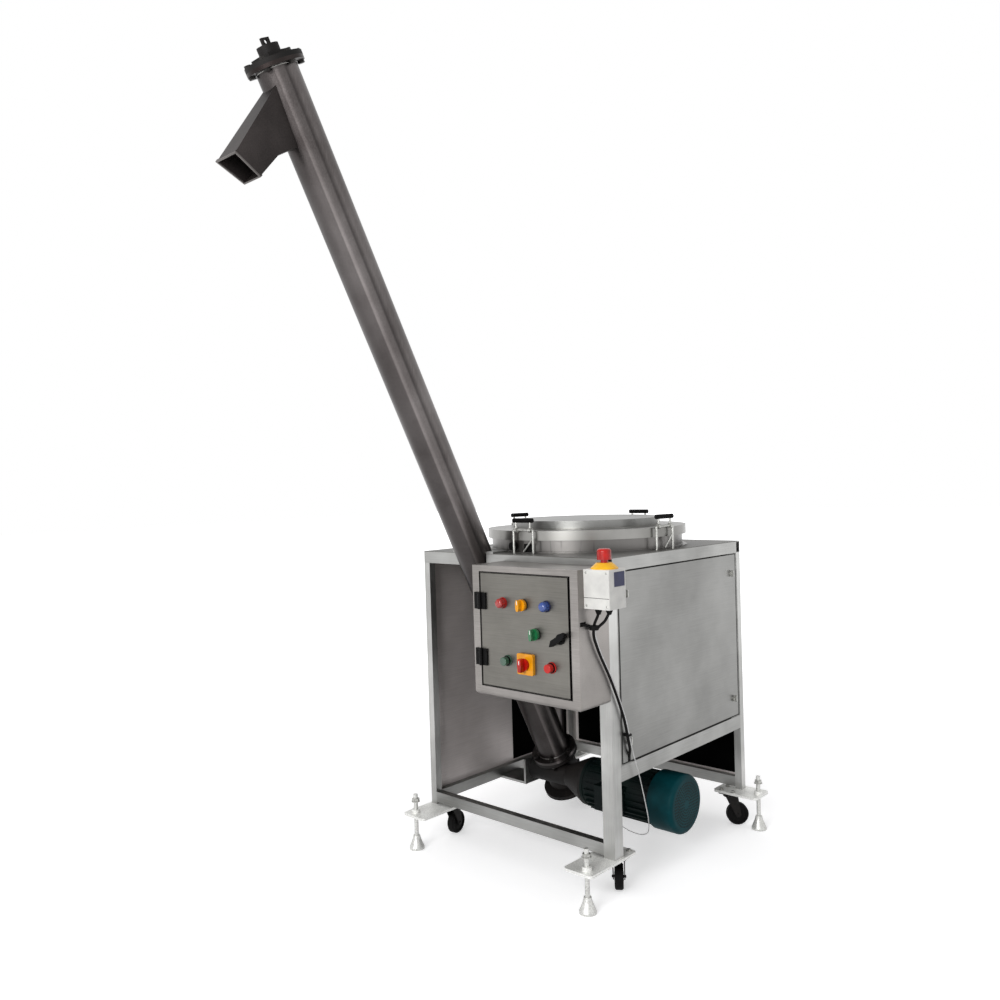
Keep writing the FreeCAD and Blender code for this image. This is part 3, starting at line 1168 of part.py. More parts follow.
def place_latch_bar(item, bearing, across, z):
    """A bar that lies across the latch."""
    angle = math.radians(float(bearing))
    item.Placement = Placement(Vector(0, 0, 0),
                               Rotation(Z_AXIS, Vector(-math.sin(angle), math.cos(angle), 0)))
    return bind_base(item, latch_spot(bearing, across, z))


# Control box

def make_control_box():
    body = new_body("control_box")
    front = new_sketch(body, "box_outline", "XZ_Plane", "-%s" % FRONT)
    x0 = BOX_LEFT
    x1 = SIDE
    z0 = "box_z"
    z1 = "(box_z + box_high)"
    outline(front, [(x0, z0), (x1, z0), (x1, z1), (x0, z1)])
    pad(body, front, "box_d")
    soften(body, "box_round", lambda edge: abs(edge.BoundBox.ZMax - num(z0)) < 1e-4)
    inside = new_sketch(body, "box_inside", "XZ_Plane", "-%s + skin" % FRONT)
    outline(inside, [(x0 + " + skin", z0 + " + box_round"), (x1 + " - skin", z0 + " + box_round"),
                     (x1 + " - skin", z1 + " - skin"), (x0 + " + skin", z1 + " - skin")])
    pocket(body, inside, "box_d - 2*skin", backwards=True)
    mouth = new_sketch(body, "box_mouth", "XZ_Plane", "-%s + box_d/2" % FRONT)
    outline(mouth, [(DOOR_X + " - door_gap", DOOR_Z + " - door_gap"),
                    (DOOR_X + " + door_gap + " + DOOR_W, DOOR_Z + " - door_gap"),
                    (DOOR_X + " + door_gap + " + DOOR_W, DOOR_Z + " + door_gap + " + DOOR_HIGH),
                    (DOOR_X + " - door_gap", DOOR_Z + " + door_gap + " + DOOR_HIGH)])
    pocket(body, mouth, "box_d", backwards=True)
    gland = new_sketch(body, "box_gland", "YZ_Plane", SIDE + " - 2*skin")
    outline(gland, [("gland_y - 13", "gland_z - 6"), ("gland_y + 13", "gland_z - 6"),
                    ("gland_y + 13", "gland_z + 6"), ("gland_y - 13", "gland_z + 6")])
    pocket(body, gland, "4*skin", backwards=True)
    finish("control_box", body)


def devices():
    """Every round device of the door: name and place."""
    return [("red_lamp", "red_lamp_x", "red_lamp_z"), ("yellow", "yellow_x", "yellow_z"),
            ("blue_lamp", "blue_lamp_x", "blue_lamp_z"), ("green", "green_x", "green_z"),
            ("start", "start_x", "start_z"), ("switch", "switch_x", "switch_z"), ("stop", "stop_x", "stop_z"),
            ("lock", "lock_x", "lock_z")]


def make_door():
    sheet = block("door_blank", DOOR_X, BOX_FRONT, DOOR_Z, DOOR_W, "door_t", DOOR_HIGH)
    hollow = block("door_hollow", DOOR_X + " + skin", BOX_FRONT + " + skin", DOOR_Z + " + skin",
                   DOOR_W + " - 2*skin", "door_t", DOOR_HIGH + " - 2*skin")
    holes = [rod("door_hole_" + name, x, BOX_FRONT + " - 1", z, "device_d/2 + device_room", "skin + 2", "y")
             for name, x, z in devices()]
    finish("control_door", cut("control_door", sheet, hollow, *holes))

    box_leaves = []
    door_leaves = []
    for name, z in (("upper", "hinge_up_z"), ("lower", "hinge_low_z")):
        third = "(hinge_high/3)"
        pin_z = "%s - hinge_high/2" % z
        leaf = block("leaf_box_" + name, HINGE_X + " - hinge_w/2", BOX_FRONT + " - hinge_t", pin_z,
                     "hinge_w/2 - knuckle_d/2 - 0.5", "hinge_t", "hinge_high")
        ears = []
        for end, start in (("low", pin_z), ("high", "%s + 2*%s + 0.2" % (pin_z, third))):
            ears.append(rod("ear_box_%s_%s" % (name, end), HINGE_X, HINGE_Y, start, "knuckle_d/2",
                            third + " - 0.2"))
            ears.append(block("web_box_%s_%s" % (name, end), HINGE_X + " - knuckle_d/2 - 1",
                              BOX_FRONT + " - hinge_t", start, "knuckle_d/2 + 1", "hinge_t",
                              third + " - 0.2"))
        pin = rod("pin_" + name, HINGE_X, HINGE_Y, pin_z, "hinge_pin_d/2", "hinge_high")
        box_leaves.append(fuse("hinge_box_" + name, leaf, pin, *ears))

        plate = block("leaf_door_" + name, HINGE_X + " + knuckle_d/2 + 0.5", BOX_FRONT + " - hinge_t", pin_z,
                      "hinge_w/2 - knuckle_d/2 - 0.5", "hinge_t", "hinge_high")
        middle = "%s + %s + 0.2" % (pin_z, third)
        ear = rod("ear_door_" + name, HINGE_X, HINGE_Y, middle, "knuckle_d/2", third + " - 0.4")
        web = block("web_door_" + name, HINGE_X, BOX_FRONT + " - hinge_t", middle, "knuckle_d/2 + 1",
                    "hinge_t", third + " - 0.4")
        bore = rod("bore_door_" + name, HINGE_X, HINGE_Y, pin_z, "hinge_pin_d/2 + shaft_room", "hinge_high")
        door_leaves.append(cut("hinge_door_" + name, fuse("hinge_door_solid_" + name, plate, ear, web), bore))
    finish("hinge_leaves_box", group("hinge_leaves_box", *box_leaves))
    finish("hinge_leaves_door", group("hinge_leaves_door", *door_leaves))


def make_bezels():
    bezels = []
    for name, x, z in devices():
        if name == "switch":
            continue
        ring = rod("bezel_ring_" + name, x, BOX_FRONT + " - bezel_t", z, "bezel_d/2", "bezel_t", "y")
        barrel = rod("bezel_barrel_" + name, x, BOX_FRONT + " - 1", z, "device_d/2", "skin + 6", "y")
        rear = block("bezel_block_" + name, x + " - block_w/2", BOX_FRONT + " + skin + 4", z + " - block_w/2",
                     "block_w", "block_len", "block_w")
        bore = rod("bezel_bore_" + name, x, BOX_FRONT + " - bezel_t - 1", z, "stem_d/2 + device_room",
                   "bezel_t + block_len/2", "y")
        bezels.append(cut("bezel_" + name, fuse("bezel_solid_" + name, ring, barrel, rear), bore))
    finish("control_bezels", group("control_bezels", *bezels))


def on_door(item, label, x, z, out="bezel_t"):
    """A turned device: its own z points out of the door."""
    finish(label, item, x, BOX_FRONT + " - (%s)" % out, z, X_AXIS, "90")


def make_devices():
    for label, x, z in (("lamp_red", "red_lamp_x", "red_lamp_z"),
                        ("lamp_blue", "blue_lamp_x", "blue_lamp_z")):
        lens = turned(label, [("0", "-6"), ("stem_d/2", "-6"), ("stem_d/2", "0"), ("lamp_d/2", "0"),
                              ("lamp_d/2", "lamp_len"), ("0", "lamp_len")])
        soften(lens, "lamp_round", rim("lamp_d/2", "lamp_len"))
        on_door(lens, label, x, z)

    for label, x, z in (("start_button", "start_x", "start_z"), ("stop_button", "stop_x", "stop_z")):
        gap = "button_travel + 0.5"
        cap = turned(label, [("0", "-8"), ("stem_d/2", "-8"), ("stem_d/2", gap), ("button_d/2", gap),
                             ("button_d/2", gap + " + button_len"), ("0", gap + " + button_len")])
        soften(cap, "2", rim("button_d/2", gap + " + button_len"))
        on_door(cap, label, x, z)

    for label, x, z in (("selector_yellow", "yellow_x", "yellow_z"),
                        ("selector_green", "green_x", "green_z")):
        knob = turned(label, [("0", "-8"), ("stem_d/2", "-8"), ("stem_d/2", "0.3"), ("knob_d/2", "0.3"),
                              ("knob_d/2", "knob_base"), ("0", "knob_base")])
        grip = new_sketch(knob, label + "_grip", "XY_Plane", "knob_base")
        reach = "(knob_d/2 - 1)"
        width = "(knob_grip_w/2)"
        outline(grip,
                [("-%s/2" % width, "-" + reach), ("%s/2" % width, "-" + reach), (width, "-%s/2" % reach),
                       (width, reach + "/2"), (width + "/2", reach), ("-%s/2" % width, reach),
                       ("-" + width, reach + "/2"), ("-" + width, "-%s/2" % reach)])
        pad(knob, grip, "knob_len - knob_base")
        on_door(knob, label, x, z)

    body = new_body("main_switch_plate")
    face = new_sketch(body, "switch_plate_outline", "XY_Plane")
    half = "(plate_w/2)"
    outline(face, [("-" + half, "-" + half), (half, "-" + half), (half, half), ("-" + half, half)])
    pad(body, face, "switch_plate_t")
    soften(body, "5", lambda edge: is_upright(edge, num("switch_plate_t")))
    stem = new_sketch(body, "switch_barrel_outline", "XY_Plane")
    circle(stem, "0", "0", "device_d/2")
    pad(body, stem, "skin + block_len/2", backwards=True)
    bore = new_sketch(body, "switch_bore_outline", "XY_Plane", "switch_plate_t")
    circle(bore, "0", "0", "stem_d/2 + device_room")
    pocket(body, bore, "switch_plate_t + 10")
    on_door(body, "main_switch_plate", "switch_x", "switch_z", "0")

    knob = turned("main_switch_knob", [("0", "-8"), ("stem_d/2", "-8"), ("stem_d/2", "0.3"),
                                       ("switch_knob_d/2", "0.3"), ("switch_knob_d/2", "8"), ("0", "8")])
    grip = new_sketch(knob, "switch_grip", "XY_Plane", "8")
    reach = "(switch_knob_d/2 + 2)"
    outline(grip,
            [("-5", "-" + reach), ("5", "-" + reach), ("7", "0.1"), ("5", reach), ("-5", reach),
             ("-7", "0.1")])
    pad(knob, grip, "switch_knob_len - 8")
    on_door(knob, "main_switch_knob", "switch_x", "switch_z", "switch_plate_t")

    lever = new_body("lock_handle")
    hub = new_sketch(lever, "lock_hub", "XY_Plane", "-8")
    circle(hub, "0", "0", "stem_d/2")
    pad(lever, hub, "8.3")
    base = new_sketch(lever, "lock_base", "XY_Plane", "0.3")
    circle(base, "0", "0", "handle_w/2")
    pad(lever, base, "5")
    blade = new_sketch(lever, "lock_blade", "XY_Plane", "5.3")
    half = "(handle_len/2)"
    wide = "(handle_w/2)"
    outline(blade,
            [("-%s" % half, "-%s/2" % wide), ("-%s + 8" % half, "-" + wide), ("%s - 14" % half, "-" + wide),
                    (half, "0.1"), ("%s - 6" % half, wide), ("-%s + 14" % half, wide)])
    pad(lever, blade, "handle_t")
    item = finish("lock_handle", lever, "lock_x", BOX_FRONT + " - bezel_t", "lock_z", X_AXIS, "90")
    turn = Rotation(X_AXIS, 90).multiply(Rotation(Z_AXIS, num("handle_slant")))
    item.Placement = Placement(item.Placement.Base, turn)


def make_estop():
    body = new_body("estop_box")
    base = new_sketch(body, "estop_outline", "XY_Plane")
    half_x = "(estop_w/2)"
    half_y = "(estop_d/2)"
    outline(base,
            [("-" + half_x, "-" + half_y), (half_x, "-" + half_y), (half_x, half_y), ("-" + half_x, half_y)])
    pad(body, base, "estop_high")
    soften(body, "estop_round", lambda edge: is_upright(edge, num("estop_high")) and edge.CenterOfMass.x > 0)
    bore = new_sketch(body, "estop_bore", "XY_Plane", "estop_high")
    circle(bore, "0", "0", "mush_stem_d/2 + device_room")
    pocket(body, bore, "estop_high/3")
    finish("estop_box", body, ESTOP_X, ESTOP_Y, "estop_z")

    dome = turned("estop_collar", [("mush_stem_d/2 + device_room", "0"), ("dome_d/2", "0"), ("dome_d/2", "3"),
                                   ("dome_top_d/2", "dome_high"),
                                   ("mush_stem_d/2 + device_room", "dome_high")])
    finish("estop_collar", dome, ESTOP_X, ESTOP_Y, ESTOP_TOP)

    low = "dome_high + mush_lift"
    mush = turned("estop_button", [("0", "-20"), ("mush_stem_d/2", "-20"), ("mush_stem_d/2", low),
                                   ("mush_d/2", low), ("mush_d/2", low + " + mush_high"),
                                   ("0", low + " + mush_high")])
    soften(mush, "mush_round", rim("mush_d/2", low + " + mush_high"))
    finish("estop_button", mush, ESTOP_X, ESTOP_Y, ESTOP_TOP)


# Cables, points from the cabinet's centre

CABLE_MAIN = [(410, -472, 854.7), (409, -473, 835), (396, -477, 808), (391, -474, 775), (391, -448, 722),
              (391, -405, 655), (391, -365, 578), (391, -336, 512), (391, -322, 456), (391, -313, 424),
              (383, -307, 402), (370, -303, 388)]
CABLE_LEAD = [(436, -458, 854.7), (435, -459, 840), (424, -463, 818), (406, -468, 803), (401.5, -470, 795)]
CABLE_BRANCH = [(372, -520, 813), (381, -507, 812), (388, -495, 808), (391, -485, 803)]
WIRE = [(399.5, -473, 794), (398, -472, 773), (397.2, -447, 722), (397.2, -404, 655), (397.2, -364, 578),
        (397.2, -335, 512), (397.2, -320, 456), (397, -302, 400), (396, -275, 335), (394.5, -251, 263),
        (391, -226, 190), (370, -198, 138), (320, -168, 112), (262, -146, 104), (214, -130, 108),
        (189, -117, 121), (182, -112, 136.6)]


def round_path(points, name):
    """Straight runs joined by tangent arcs, each as large as its two runs allow."""
    spots = [Vector(*point) for point in points]
    edges = []
    start = spots[0]
    smallest = None
    for before, corner, after in zip(spots, spots[1:], spots[2:]):
        back = before.sub(corner)
        ahead = after.sub(corner)
        share = 0.45 * min(back.Length, ahead.Length)
        back.normalize()
        ahead.normalize()
        turn = math.pi - back.getAngle(ahead)
        radius = share / math.tan(turn / 2)
        smallest = radius if smallest is None else min(smallest, radius)
        enter = corner.add(back.multiply(share))
        leave = corner.add(ahead.multiply(share))
        chord_middle = enter.add(leave).multiply(0.5)
        to_corner = corner.sub(chord_middle)
        sagitta = radius * (1 - math.cos(turn / 2))
        middle = chord_middle.add(to_corner.normalize().multiply(sagitta))
        edges.append(Part.LineSegment(start, enter).toShape())
        edges.append(Part.Arc(enter, middle, leave).toShape())
        start = leave
    edges.append(Part.LineSegment(start, spots[-1]).toShape())
    wire = Part.Wire(edges)
    print("%s: length %.0f, smallest radius %.1f" % (name, wire.Length, smallest))
    return wire


def cord(points, diameter, name):
    """A round cable along its route."""
    wire = round_path(points, name)
    heading = wire.Edges[0].tangentAt(wire.Edges[0].FirstParameter)
    section = Part.Wire(Part.makeCircle(diameter / 2, wire.Edges[0].Vertexes[0].Point, heading))
    solid = wire.makePipeShell([section], True, False)
    expected = math.pi * diameter ** 2 / 4 * wire.Length
    print("%s: volume %.4f of its section times its length" % (name, solid.Volume / expected))
    return solid


def make_cables():
    routes = [("main", CABLE_MAIN), ("lead", CABLE_LEAD), ("branch", CABLE_BRANCH)]
    cords = [cord(points, num("cable_d"), name) for name, points in routes]
    thin = cord(WIRE, num("wire_d"), "motor wire")
    held = Part.makeCompound(cords + [thin])
    tie = Part.makeCylinder(12.5, 12, Vector(396, -476, 794)).cut(held)
    clip = Part.makeBox(18, 17, 6, Vector(num(SIDE), -333, 466)).cut(held)
    cables = doc.addObject("Part::Feature", "control_cable")
    cables.Shape = Part.makeCompound(cords + tie.Solids + clip.Solids)
    cables.Label = "control_cable"
    wire = doc.addObject("Part::Feature", "motor_wire")
    wire.Shape = thin
    wire.Label = "motor_wire"
    for item in (cables, wire):
        place(item, "-origin_x", "-origin_y", "0")
        PIECES.append(item)


def set_origin():
    """Move the origin under the middle of the box that holds every piece."""
    box = FreeCAD.BoundBox()
    for item in PIECES:
        shape = item.Shape.copy()
        box.add(shape.optimalBoundingBox(False))
    dims.set(dims.getCellFromAlias("origin_x"), "%.3f" % ((box.XMin + box.XMax) / 2))
    dims.set(dims.getCellFromAlias("origin_y"), "%.3f" % ((box.YMin + box.YMax) / 2))
    print("origin", (box.XMin + box.XMax) / 2, (box.YMin + box.YMax) / 2, "box", box)


def check_and_export():
    for item in doc.Objects:
        if "Invalid" in item.State or "Error" in item.State:
            raise RuntimeError("%s failed: %s" % (item.Label, item.State))
    for item in PIECES:
        shape = item.Shape
        if shape.isNull() or not shape.isValid() or not shape.Solids:
            raise RuntimeError("%s has no sound shape" % item.Label)
    for item in PIECES:
        item.Shape.exportStep("parts/%s.step" % item.Label)
    print("%d sub-parts, %d solids" % (len(PIECES), sum(len(item.Shape.Solids) for item in PIECES)))


make_frame()
make_panels()
make_deck()
make_base_plates()
make_casters()
make_feet()
make_tube()
make_spout()
make_top_end()
make_screw()
make_gearbox()
make_motor()
make_brackets()
make_hopper()
make_latches()
make_control_box()
make_door()
make_bezels()
make_devices()
make_estop()
make_cables()
doc.recompute()
set_origin()
doc.recompute()
check_and_export()
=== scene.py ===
import math

import bmesh
import bpy
from mathutils import Matrix, Vector


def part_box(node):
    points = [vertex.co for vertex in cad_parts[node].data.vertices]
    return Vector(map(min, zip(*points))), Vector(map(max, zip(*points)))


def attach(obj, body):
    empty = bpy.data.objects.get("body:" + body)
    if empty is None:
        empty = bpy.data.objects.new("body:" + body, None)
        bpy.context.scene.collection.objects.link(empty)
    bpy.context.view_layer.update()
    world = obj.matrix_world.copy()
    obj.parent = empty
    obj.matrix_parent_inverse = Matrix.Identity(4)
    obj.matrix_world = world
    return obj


bl_info = {
    "name": "Screw Conveyor Dressing",
    "version": (1, 0, 0),
    "blender": (4, 5, 0),
    "location": "View3D > Sidebar > Screw Conveyor",
    "description": "Dresses the packed screw conveyor with finishes, fasteners, welds and small fittings",
    "category": "Add Mesh",
}

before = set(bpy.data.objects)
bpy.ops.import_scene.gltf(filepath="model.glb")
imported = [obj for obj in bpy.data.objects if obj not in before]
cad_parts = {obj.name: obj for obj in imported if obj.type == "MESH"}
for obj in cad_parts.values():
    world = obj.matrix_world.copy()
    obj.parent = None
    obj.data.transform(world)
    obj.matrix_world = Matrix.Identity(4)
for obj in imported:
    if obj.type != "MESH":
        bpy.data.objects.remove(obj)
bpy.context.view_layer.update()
DECK_LOW, DECK_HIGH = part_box("deck")
CENTRE = (Vector(DECK_LOW) + Vector(DECK_HIGH)) / 2
MM = 0.001

# The machine's main places and sizes, in millimetres, from the cabinet's centre on the floor

LEAN = math.radians(27.3)
DECK_Z = 983
TUBE_X = -150
TUBE_DECK_Y = -383
TUBE_FOOT_Z = 250
TUBE_LENGTH = 2338
TUBE_R = 57
CHUTE_Y = -15
HOPPER_Y = 20
HOPPER_R = 326
DOOR_FACE_Y = -527
PLATE_TOP_Z = 120
CASTERS = [(349, -327), (-349, -327), (349, 343), (-349, 343)]
FEET = {"front_right": (355, -486), "front_left": (-355, -486), "rear_right": (445, 360),
        "rear_left": (-445, 360)}
LATCHES = {"front": -87.5, "right": -7.5, "back": 92.5, "left": 172.5}

TUBE_UP = Vector((0, -math.sin(LEAN), math.cos(LEAN)))
TUBE_BACK = Vector((0, math.cos(LEAN), math.sin(LEAN)))
UP = (0, 0, 1)
# Turns that face a shape made round +Z to the machine's front or right
TO_FRONT = (math.pi / 2, 0, 0)
TO_RIGHT = (0, math.pi / 2, 0)


def at(x, y, z):
    """A place in millimetres from the cabinet's centre on the floor, in the row frame."""
    return Vector((CENTRE.x + x * MM, CENTRE.y + y * MM, z * MM))


def on_tube(along):
    """A place on the tube's axis, in millimetres from its lower end."""
    foot = at(TUBE_X, TUBE_DECK_Y + math.tan(LEAN) * (DECK_Z - TUBE_FOOT_Z), TUBE_FOOT_Z)
    return foot + TUBE_UP * along * MM


def lie(place, direction):
    """The matrix that puts a shape made round +Z at a place, facing a direction."""
    turn = Vector(UP).rotation_difference(Vector(direction)).to_matrix().to_4x4()
    return Matrix.Translation(place) @ turn


def outward(bearing):
    """The x and y of a level direction at a bearing in degrees, counted from the machine's right side."""
    angle = math.radians(bearing)
    return math.cos(angle), math.sin(angle)


# Materials

TUBE_AXIS = Vector((on_tube(0).x, on_tube(0).dot(TUBE_BACK), 0))
TOP_FLANGE = on_tube(TUBE_LENGTH - 11).dot(TUBE_UP)
MOUTH_OUT = Vector((0, -0.485, -0.875))
MOUTH_LIP = at(0, -1232, 2046)
LIP_DEPTH = 0.003
HOOP_Z = 1.0213
BEHIND_DOOR_Y = DOOR_FACE_Y + 2
PLAIN_CONTRAST = 0.45
BLACK = "#070707"

# Place round the pipe and its tone, painted light: painted shade on the front left, a painted highlight at
# the right front, a dark line of painted reflection
PIPE_PAINTED_SHADE_AND_HIGHLIGHT = [(0.0, 0.62), (0.36, 0.58), (0.42, 0.42), (0.59, 0.38), (0.616, 0.42), (0.627, 0.92),
              (0.638, 0.88), (0.655, 0.66), (0.692, 0.62), (0.708, 0.30), (0.722, 0.44), (0.755, 0.84),
              (0.9, 0.78), (1.0, 0.62)]


def linear(hex_value):
    """An sRGB hex colour as linear RGBA."""
    parts = [int(hex_value[i:i + 2], 16) / 255 for i in (1, 3, 5)]
    return tuple(p / 12.92 if p <= 0.04045 else ((p + 0.055) / 1.055) ** 2.4 for p in parts) + (1.0,)


def add_node(tree, kind, inputs=(), stops=(), **settings):
    """Add a node: settings are its properties or its inputs' values, inputs are (input, value or output
    socket) and stops are the (position, colour) pairs of a colour ramp."""
    item = tree.nodes.new(kind)
    for name, value in settings.items():
        if hasattr(item, name):
            setattr(item, name, value)
        else:
            item.inputs[name.replace("_", " ")].default_value = value
    for name, source in inputs:
        if isinstance(source, bpy.types.NodeSocket):
            tree.links.new(source, item.inputs[name])
        else:
            item.inputs[name].default_value = source
    if stops:
        while len(item.color_ramp.elements) < len(stops):
            item.color_ramp.elements.new(0.5)
        for element, (position, colour) in zip(item.color_ramp.elements, stops):
            element.position = position
            element.color = colour
    return item


def start_material(name):
    material = bpy.data.materials.new(name)
    material.use_nodes = True
    material.node_tree.nodes.clear()
    return material, material.node_tree


def finish_material(tree, shader):
    add_node(tree, "ShaderNodeOutputMaterial", [("Surface", shader.outputs[0])])


def object_place(tree, scale=(1, 1, 1), turn=(0, 0, 0), shift=(0, 0, 0)):
    """Object coordinates, scaled, turned and shifted."""
    place = add_node(tree, "ShaderNodeTexCoord")
    return add_node(tree, "ShaderNodeMapping", [("Vector", place.outputs["Object"])], Location=shift,
                    Rotation=turn, Scale=scale)


def brushed_stainless(name, light, dark, grain=(900, 900, 6), turn=(0, 0, 0), roughness=0.34, metallic=1.0,
                      contrast=PLAIN_CONTRAST, upper=None, painted_light_bands=None):
    """Brushed stainless sheet: fine scratches one way, under a millimetre apart, drawn a little coarser so
    that they show, over slow cloudy changes where the sheet was wiped and handled. Past a height along a
    direction the colour changes: to a polished hoop's tone; past a pipe's top flange to a dark tone that is
    painted shade; past a spout's lip to a lighter rim round a mouth darkened as painted shade. Round a pipe,
    long bands by the angle round its axis are painted shade and painted highlight."""
    material, tree = start_material(name)
    fine = add_node(tree, "ShaderNodeTexNoise", [("Vector", object_place(tree, grain, turn).outputs[0])],
                    Scale=1.0, Detail=3.0, Roughness=0.6)
    cloud = add_node(tree, "ShaderNodeTexNoise", [("Vector", object_place(tree).outputs[0])],
                     Scale=3.2, Detail=4.0, Roughness=0.55)
    scratches = add_node(tree, "ShaderNodeMath", [(0, fine.outputs["Fac"]), (1, contrast)],
                         operation="MULTIPLY")
    total = add_node(tree, "ShaderNodeMath", [(0, cloud.outputs["Fac"]), (1, scratches.outputs[0])],
                     operation="ADD")
    dark_stop = 0.5 + 0.22 * (contrast - PLAIN_CONTRAST)
    light_stop = 0.68 + 0.5 * contrast
    colour = add_node(tree, "ShaderNodeValToRGB", [("Fac", total.outputs[0])],
                      [(dark_stop, linear(dark)), (light_stop, linear(light))])
    # Bands of painted shade and painted highlight, set by the angle round the pipe's axis
    if painted_light_bands:
        local = add_node(tree, "ShaderNodeSeparateXYZ",
                         [(0, object_place(tree, (1, 1, 1), turn, -TUBE_AXIS).outputs[0])])
        front = add_node(tree, "ShaderNodeMath", [(0, local.outputs["Y"]), (1, -1.0)], operation="MULTIPLY")
        angle = add_node(tree, "ShaderNodeMath", [(0, local.outputs["X"]), (1, front.outputs[0])],
                         operation="ARCTAN2")
        round_it = add_node(tree, "ShaderNodeMapRange",
                            [("Value", angle.outputs[0]), ("From Min", -math.pi), ("From Max", math.pi)])
        bands = add_node(tree, "ShaderNodeValToRGB", [("Fac", round_it.outputs[0])],
                         [(place, (tone, tone, tone, 1)) for place, tone in painted_light_bands])
        colour = add_node(tree, "ShaderNodeMixRGB", [(1, colour.outputs[0]), (2, bands.outputs[0])],
                          blend_type="MULTIPLY", Fac=1.0)
    if upper:
        height, way, other_light, other_dark = upper
        along = add_node(tree, "ShaderNodeSeparateXYZ", [(0, object_place(tree, (1, 1, 1), way).outputs[0])])
        past = add_node(tree, "ShaderNodeMath", [(0, along.outputs["Z"]), (1, height)],
                        operation="GREATER_THAN")
        other = add_node(tree, "ShaderNodeValToRGB", [("Fac", cloud.outputs["Fac"])],
                         [(0.3, linear(other_dark)), (0.8, linear(other_light))])
        colour = add_node(tree, "ShaderNodeMixRGB",
                          [(0, past.outputs[0]), (1, colour.outputs[0]), (2, other.outputs[0])])
    rough = add_node(tree, "ShaderNodeMapRange",
                     [("Value", fine.outputs["Fac"]), ("To Min", roughness - 0.07),
                      ("To Max", roughness + 0.10)])
    relief = add_node(tree, "ShaderNodeBump", [("Height", fine.outputs["Fac"])], Strength=0.04,
                      Distance=0.0006)
    shader = add_node(tree, "ShaderNodeBsdfPrincipled",
                      [("Base Color", colour.outputs[0]), ("Roughness", rough.outputs[0]),
                       ("Normal", relief.outputs[0])], Metallic=metallic)
    finish_material(tree, shader)
    return material


def plated_steel(name, light, dark, roughness=0.42, metallic=0.85):
    """Zinc plated or galvanised steel: dull bright metal with soft spangle a few millimetres across."""
    material, tree = start_material(name)
    place = object_place(tree)
    spangle = add_node(tree, "ShaderNodeTexVoronoi", [("Vector", place.outputs[0])], Scale=260.0)
    cloud = add_node(tree, "ShaderNodeTexNoise", [("Vector", place.outputs[0])], Scale=22.0, Detail=4.0)
    mixed = add_node(tree, "ShaderNodeMath",
                     [(0, spangle.outputs["Distance"]), (1, cloud.outputs["Fac"]), (2, 0.25)],
                     operation="MULTIPLY_ADD")
    colour = add_node(tree, "ShaderNodeValToRGB", [("Fac", mixed.outputs[0])],
                      [(0.25, linear(dark)), (0.6, linear(light))])
    relief = add_node(tree, "ShaderNodeBump", [("Height", spangle.outputs["Distance"])], Strength=0.05,
                      Distance=0.0005)
    shader = add_node(tree, "ShaderNodeBsdfPrincipled",
                      [("Base Color", colour.outputs[0]), ("Normal", relief.outputs[0])],
                      Metallic=metallic, Roughness=roughness)
    finish_material(tree, shader)
    return material


def enamelled_casting(name, light, dark, roughness=0.35, grit=420.0, bump=0.12, shine=0.5):
    """Enamel sprayed on a sand casting: an even colour over a fine orange peel, darker where dust settles."""
    material, tree = start_material(name)
    place = object_place(tree)
    peel = add_node(tree, "ShaderNodeTexNoise", [("Vector", place.outputs[0])], Scale=grit, Detail=2.0)
    dust = add_node(tree, "ShaderNodeTexNoise", [("Vector", place.outputs[0])], Scale=9.0, Detail=5.0)
    colour = add_node(tree, "ShaderNodeValToRGB", [("Fac", dust.outputs["Fac"])],
                      [(0.35, linear(dark)), (0.65, linear(light))])
    relief = add_node(tree, "ShaderNodeBump", [("Height", peel.outputs["Fac"])], Strength=bump,
                      Distance=0.0006)
    shader = add_node(tree, "ShaderNodeBsdfPrincipled",
                      [("Base Color", colour.outputs[0]), ("Normal", relief.outputs[0])],
                      Roughness=roughness, Specular_IOR_Level=shine)
    finish_material(tree, shader)
    return material


def moulded_plastic(name, light, dark, roughness=0.32, grit=900.0, bump=0.05, shine=0.5, coat=0.0, back=None):
    """Injection moulded plastic: one colour through, with the fine spark texture of the mould, about 1 mm.
    Past the depth called back, a switch is its black contact block."""
    material, tree = start_material(name)
    place = object_place(tree)
    spark = add_node(tree, "ShaderNodeTexNoise", [("Vector", place.outputs[0])], Scale=grit, Detail=2.0)
    tint = add_node(tree, "ShaderNodeTexNoise", [("Vector", place.outputs[0])], Scale=30.0, Detail=3.0)
    colour = add_node(tree, "ShaderNodeValToRGB", [("Fac", tint.outputs["Fac"])],
                      [(0.3, linear(dark)), (0.7, linear(light))])
    if back is not None:
        depth = add_node(tree, "ShaderNodeSeparateXYZ", [(0, place.outputs[0])])
        past = add_node(tree, "ShaderNodeMath", [(0, depth.outputs["Y"]), (1, back)],
                        operation="GREATER_THAN")
        colour = add_node(tree, "ShaderNodeMixRGB", [(0, past.outputs[0]), (1, colour.outputs[0])],
                          Color2=linear(BLACK))
    relief = add_node(tree, "ShaderNodeBump", [("Height", spark.outputs["Fac"])], Strength=bump,
                      Distance=0.0004)
    shader = add_node(tree, "ShaderNodeBsdfPrincipled",
                      [("Base Color", colour.outputs[0]), ("Normal", relief.outputs[0])], Roughness=roughness,
                      Specular_IOR_Level=shine, Coat_Weight=coat)
    finish_material(tree, shader)
    return material


def signal_lens(name, light, dark):
    """Coloured polycarbonate lens: glossy, slightly see-through, ribbed inside every 1.5 mm."""
    material, tree = start_material(name)
    place = object_place(tree)
    ribs = add_node(tree, "ShaderNodeTexWave", [("Vector", place.outputs[0])], Scale=210.0, Distortion=0.0)
    colour = add_node(tree, "ShaderNodeValToRGB", [("Fac", ribs.outputs["Fac"])],
                      [(0.2, linear(dark)), (0.8, linear(light))])
    shader = add_node(tree, "ShaderNodeBsdfPrincipled", [("Base Color", colour.outputs[0])], Roughness=0.12,
                      Coat_Weight=0.5, Transmission_Weight=0.15)
    finish_material(tree, shader)
    return material


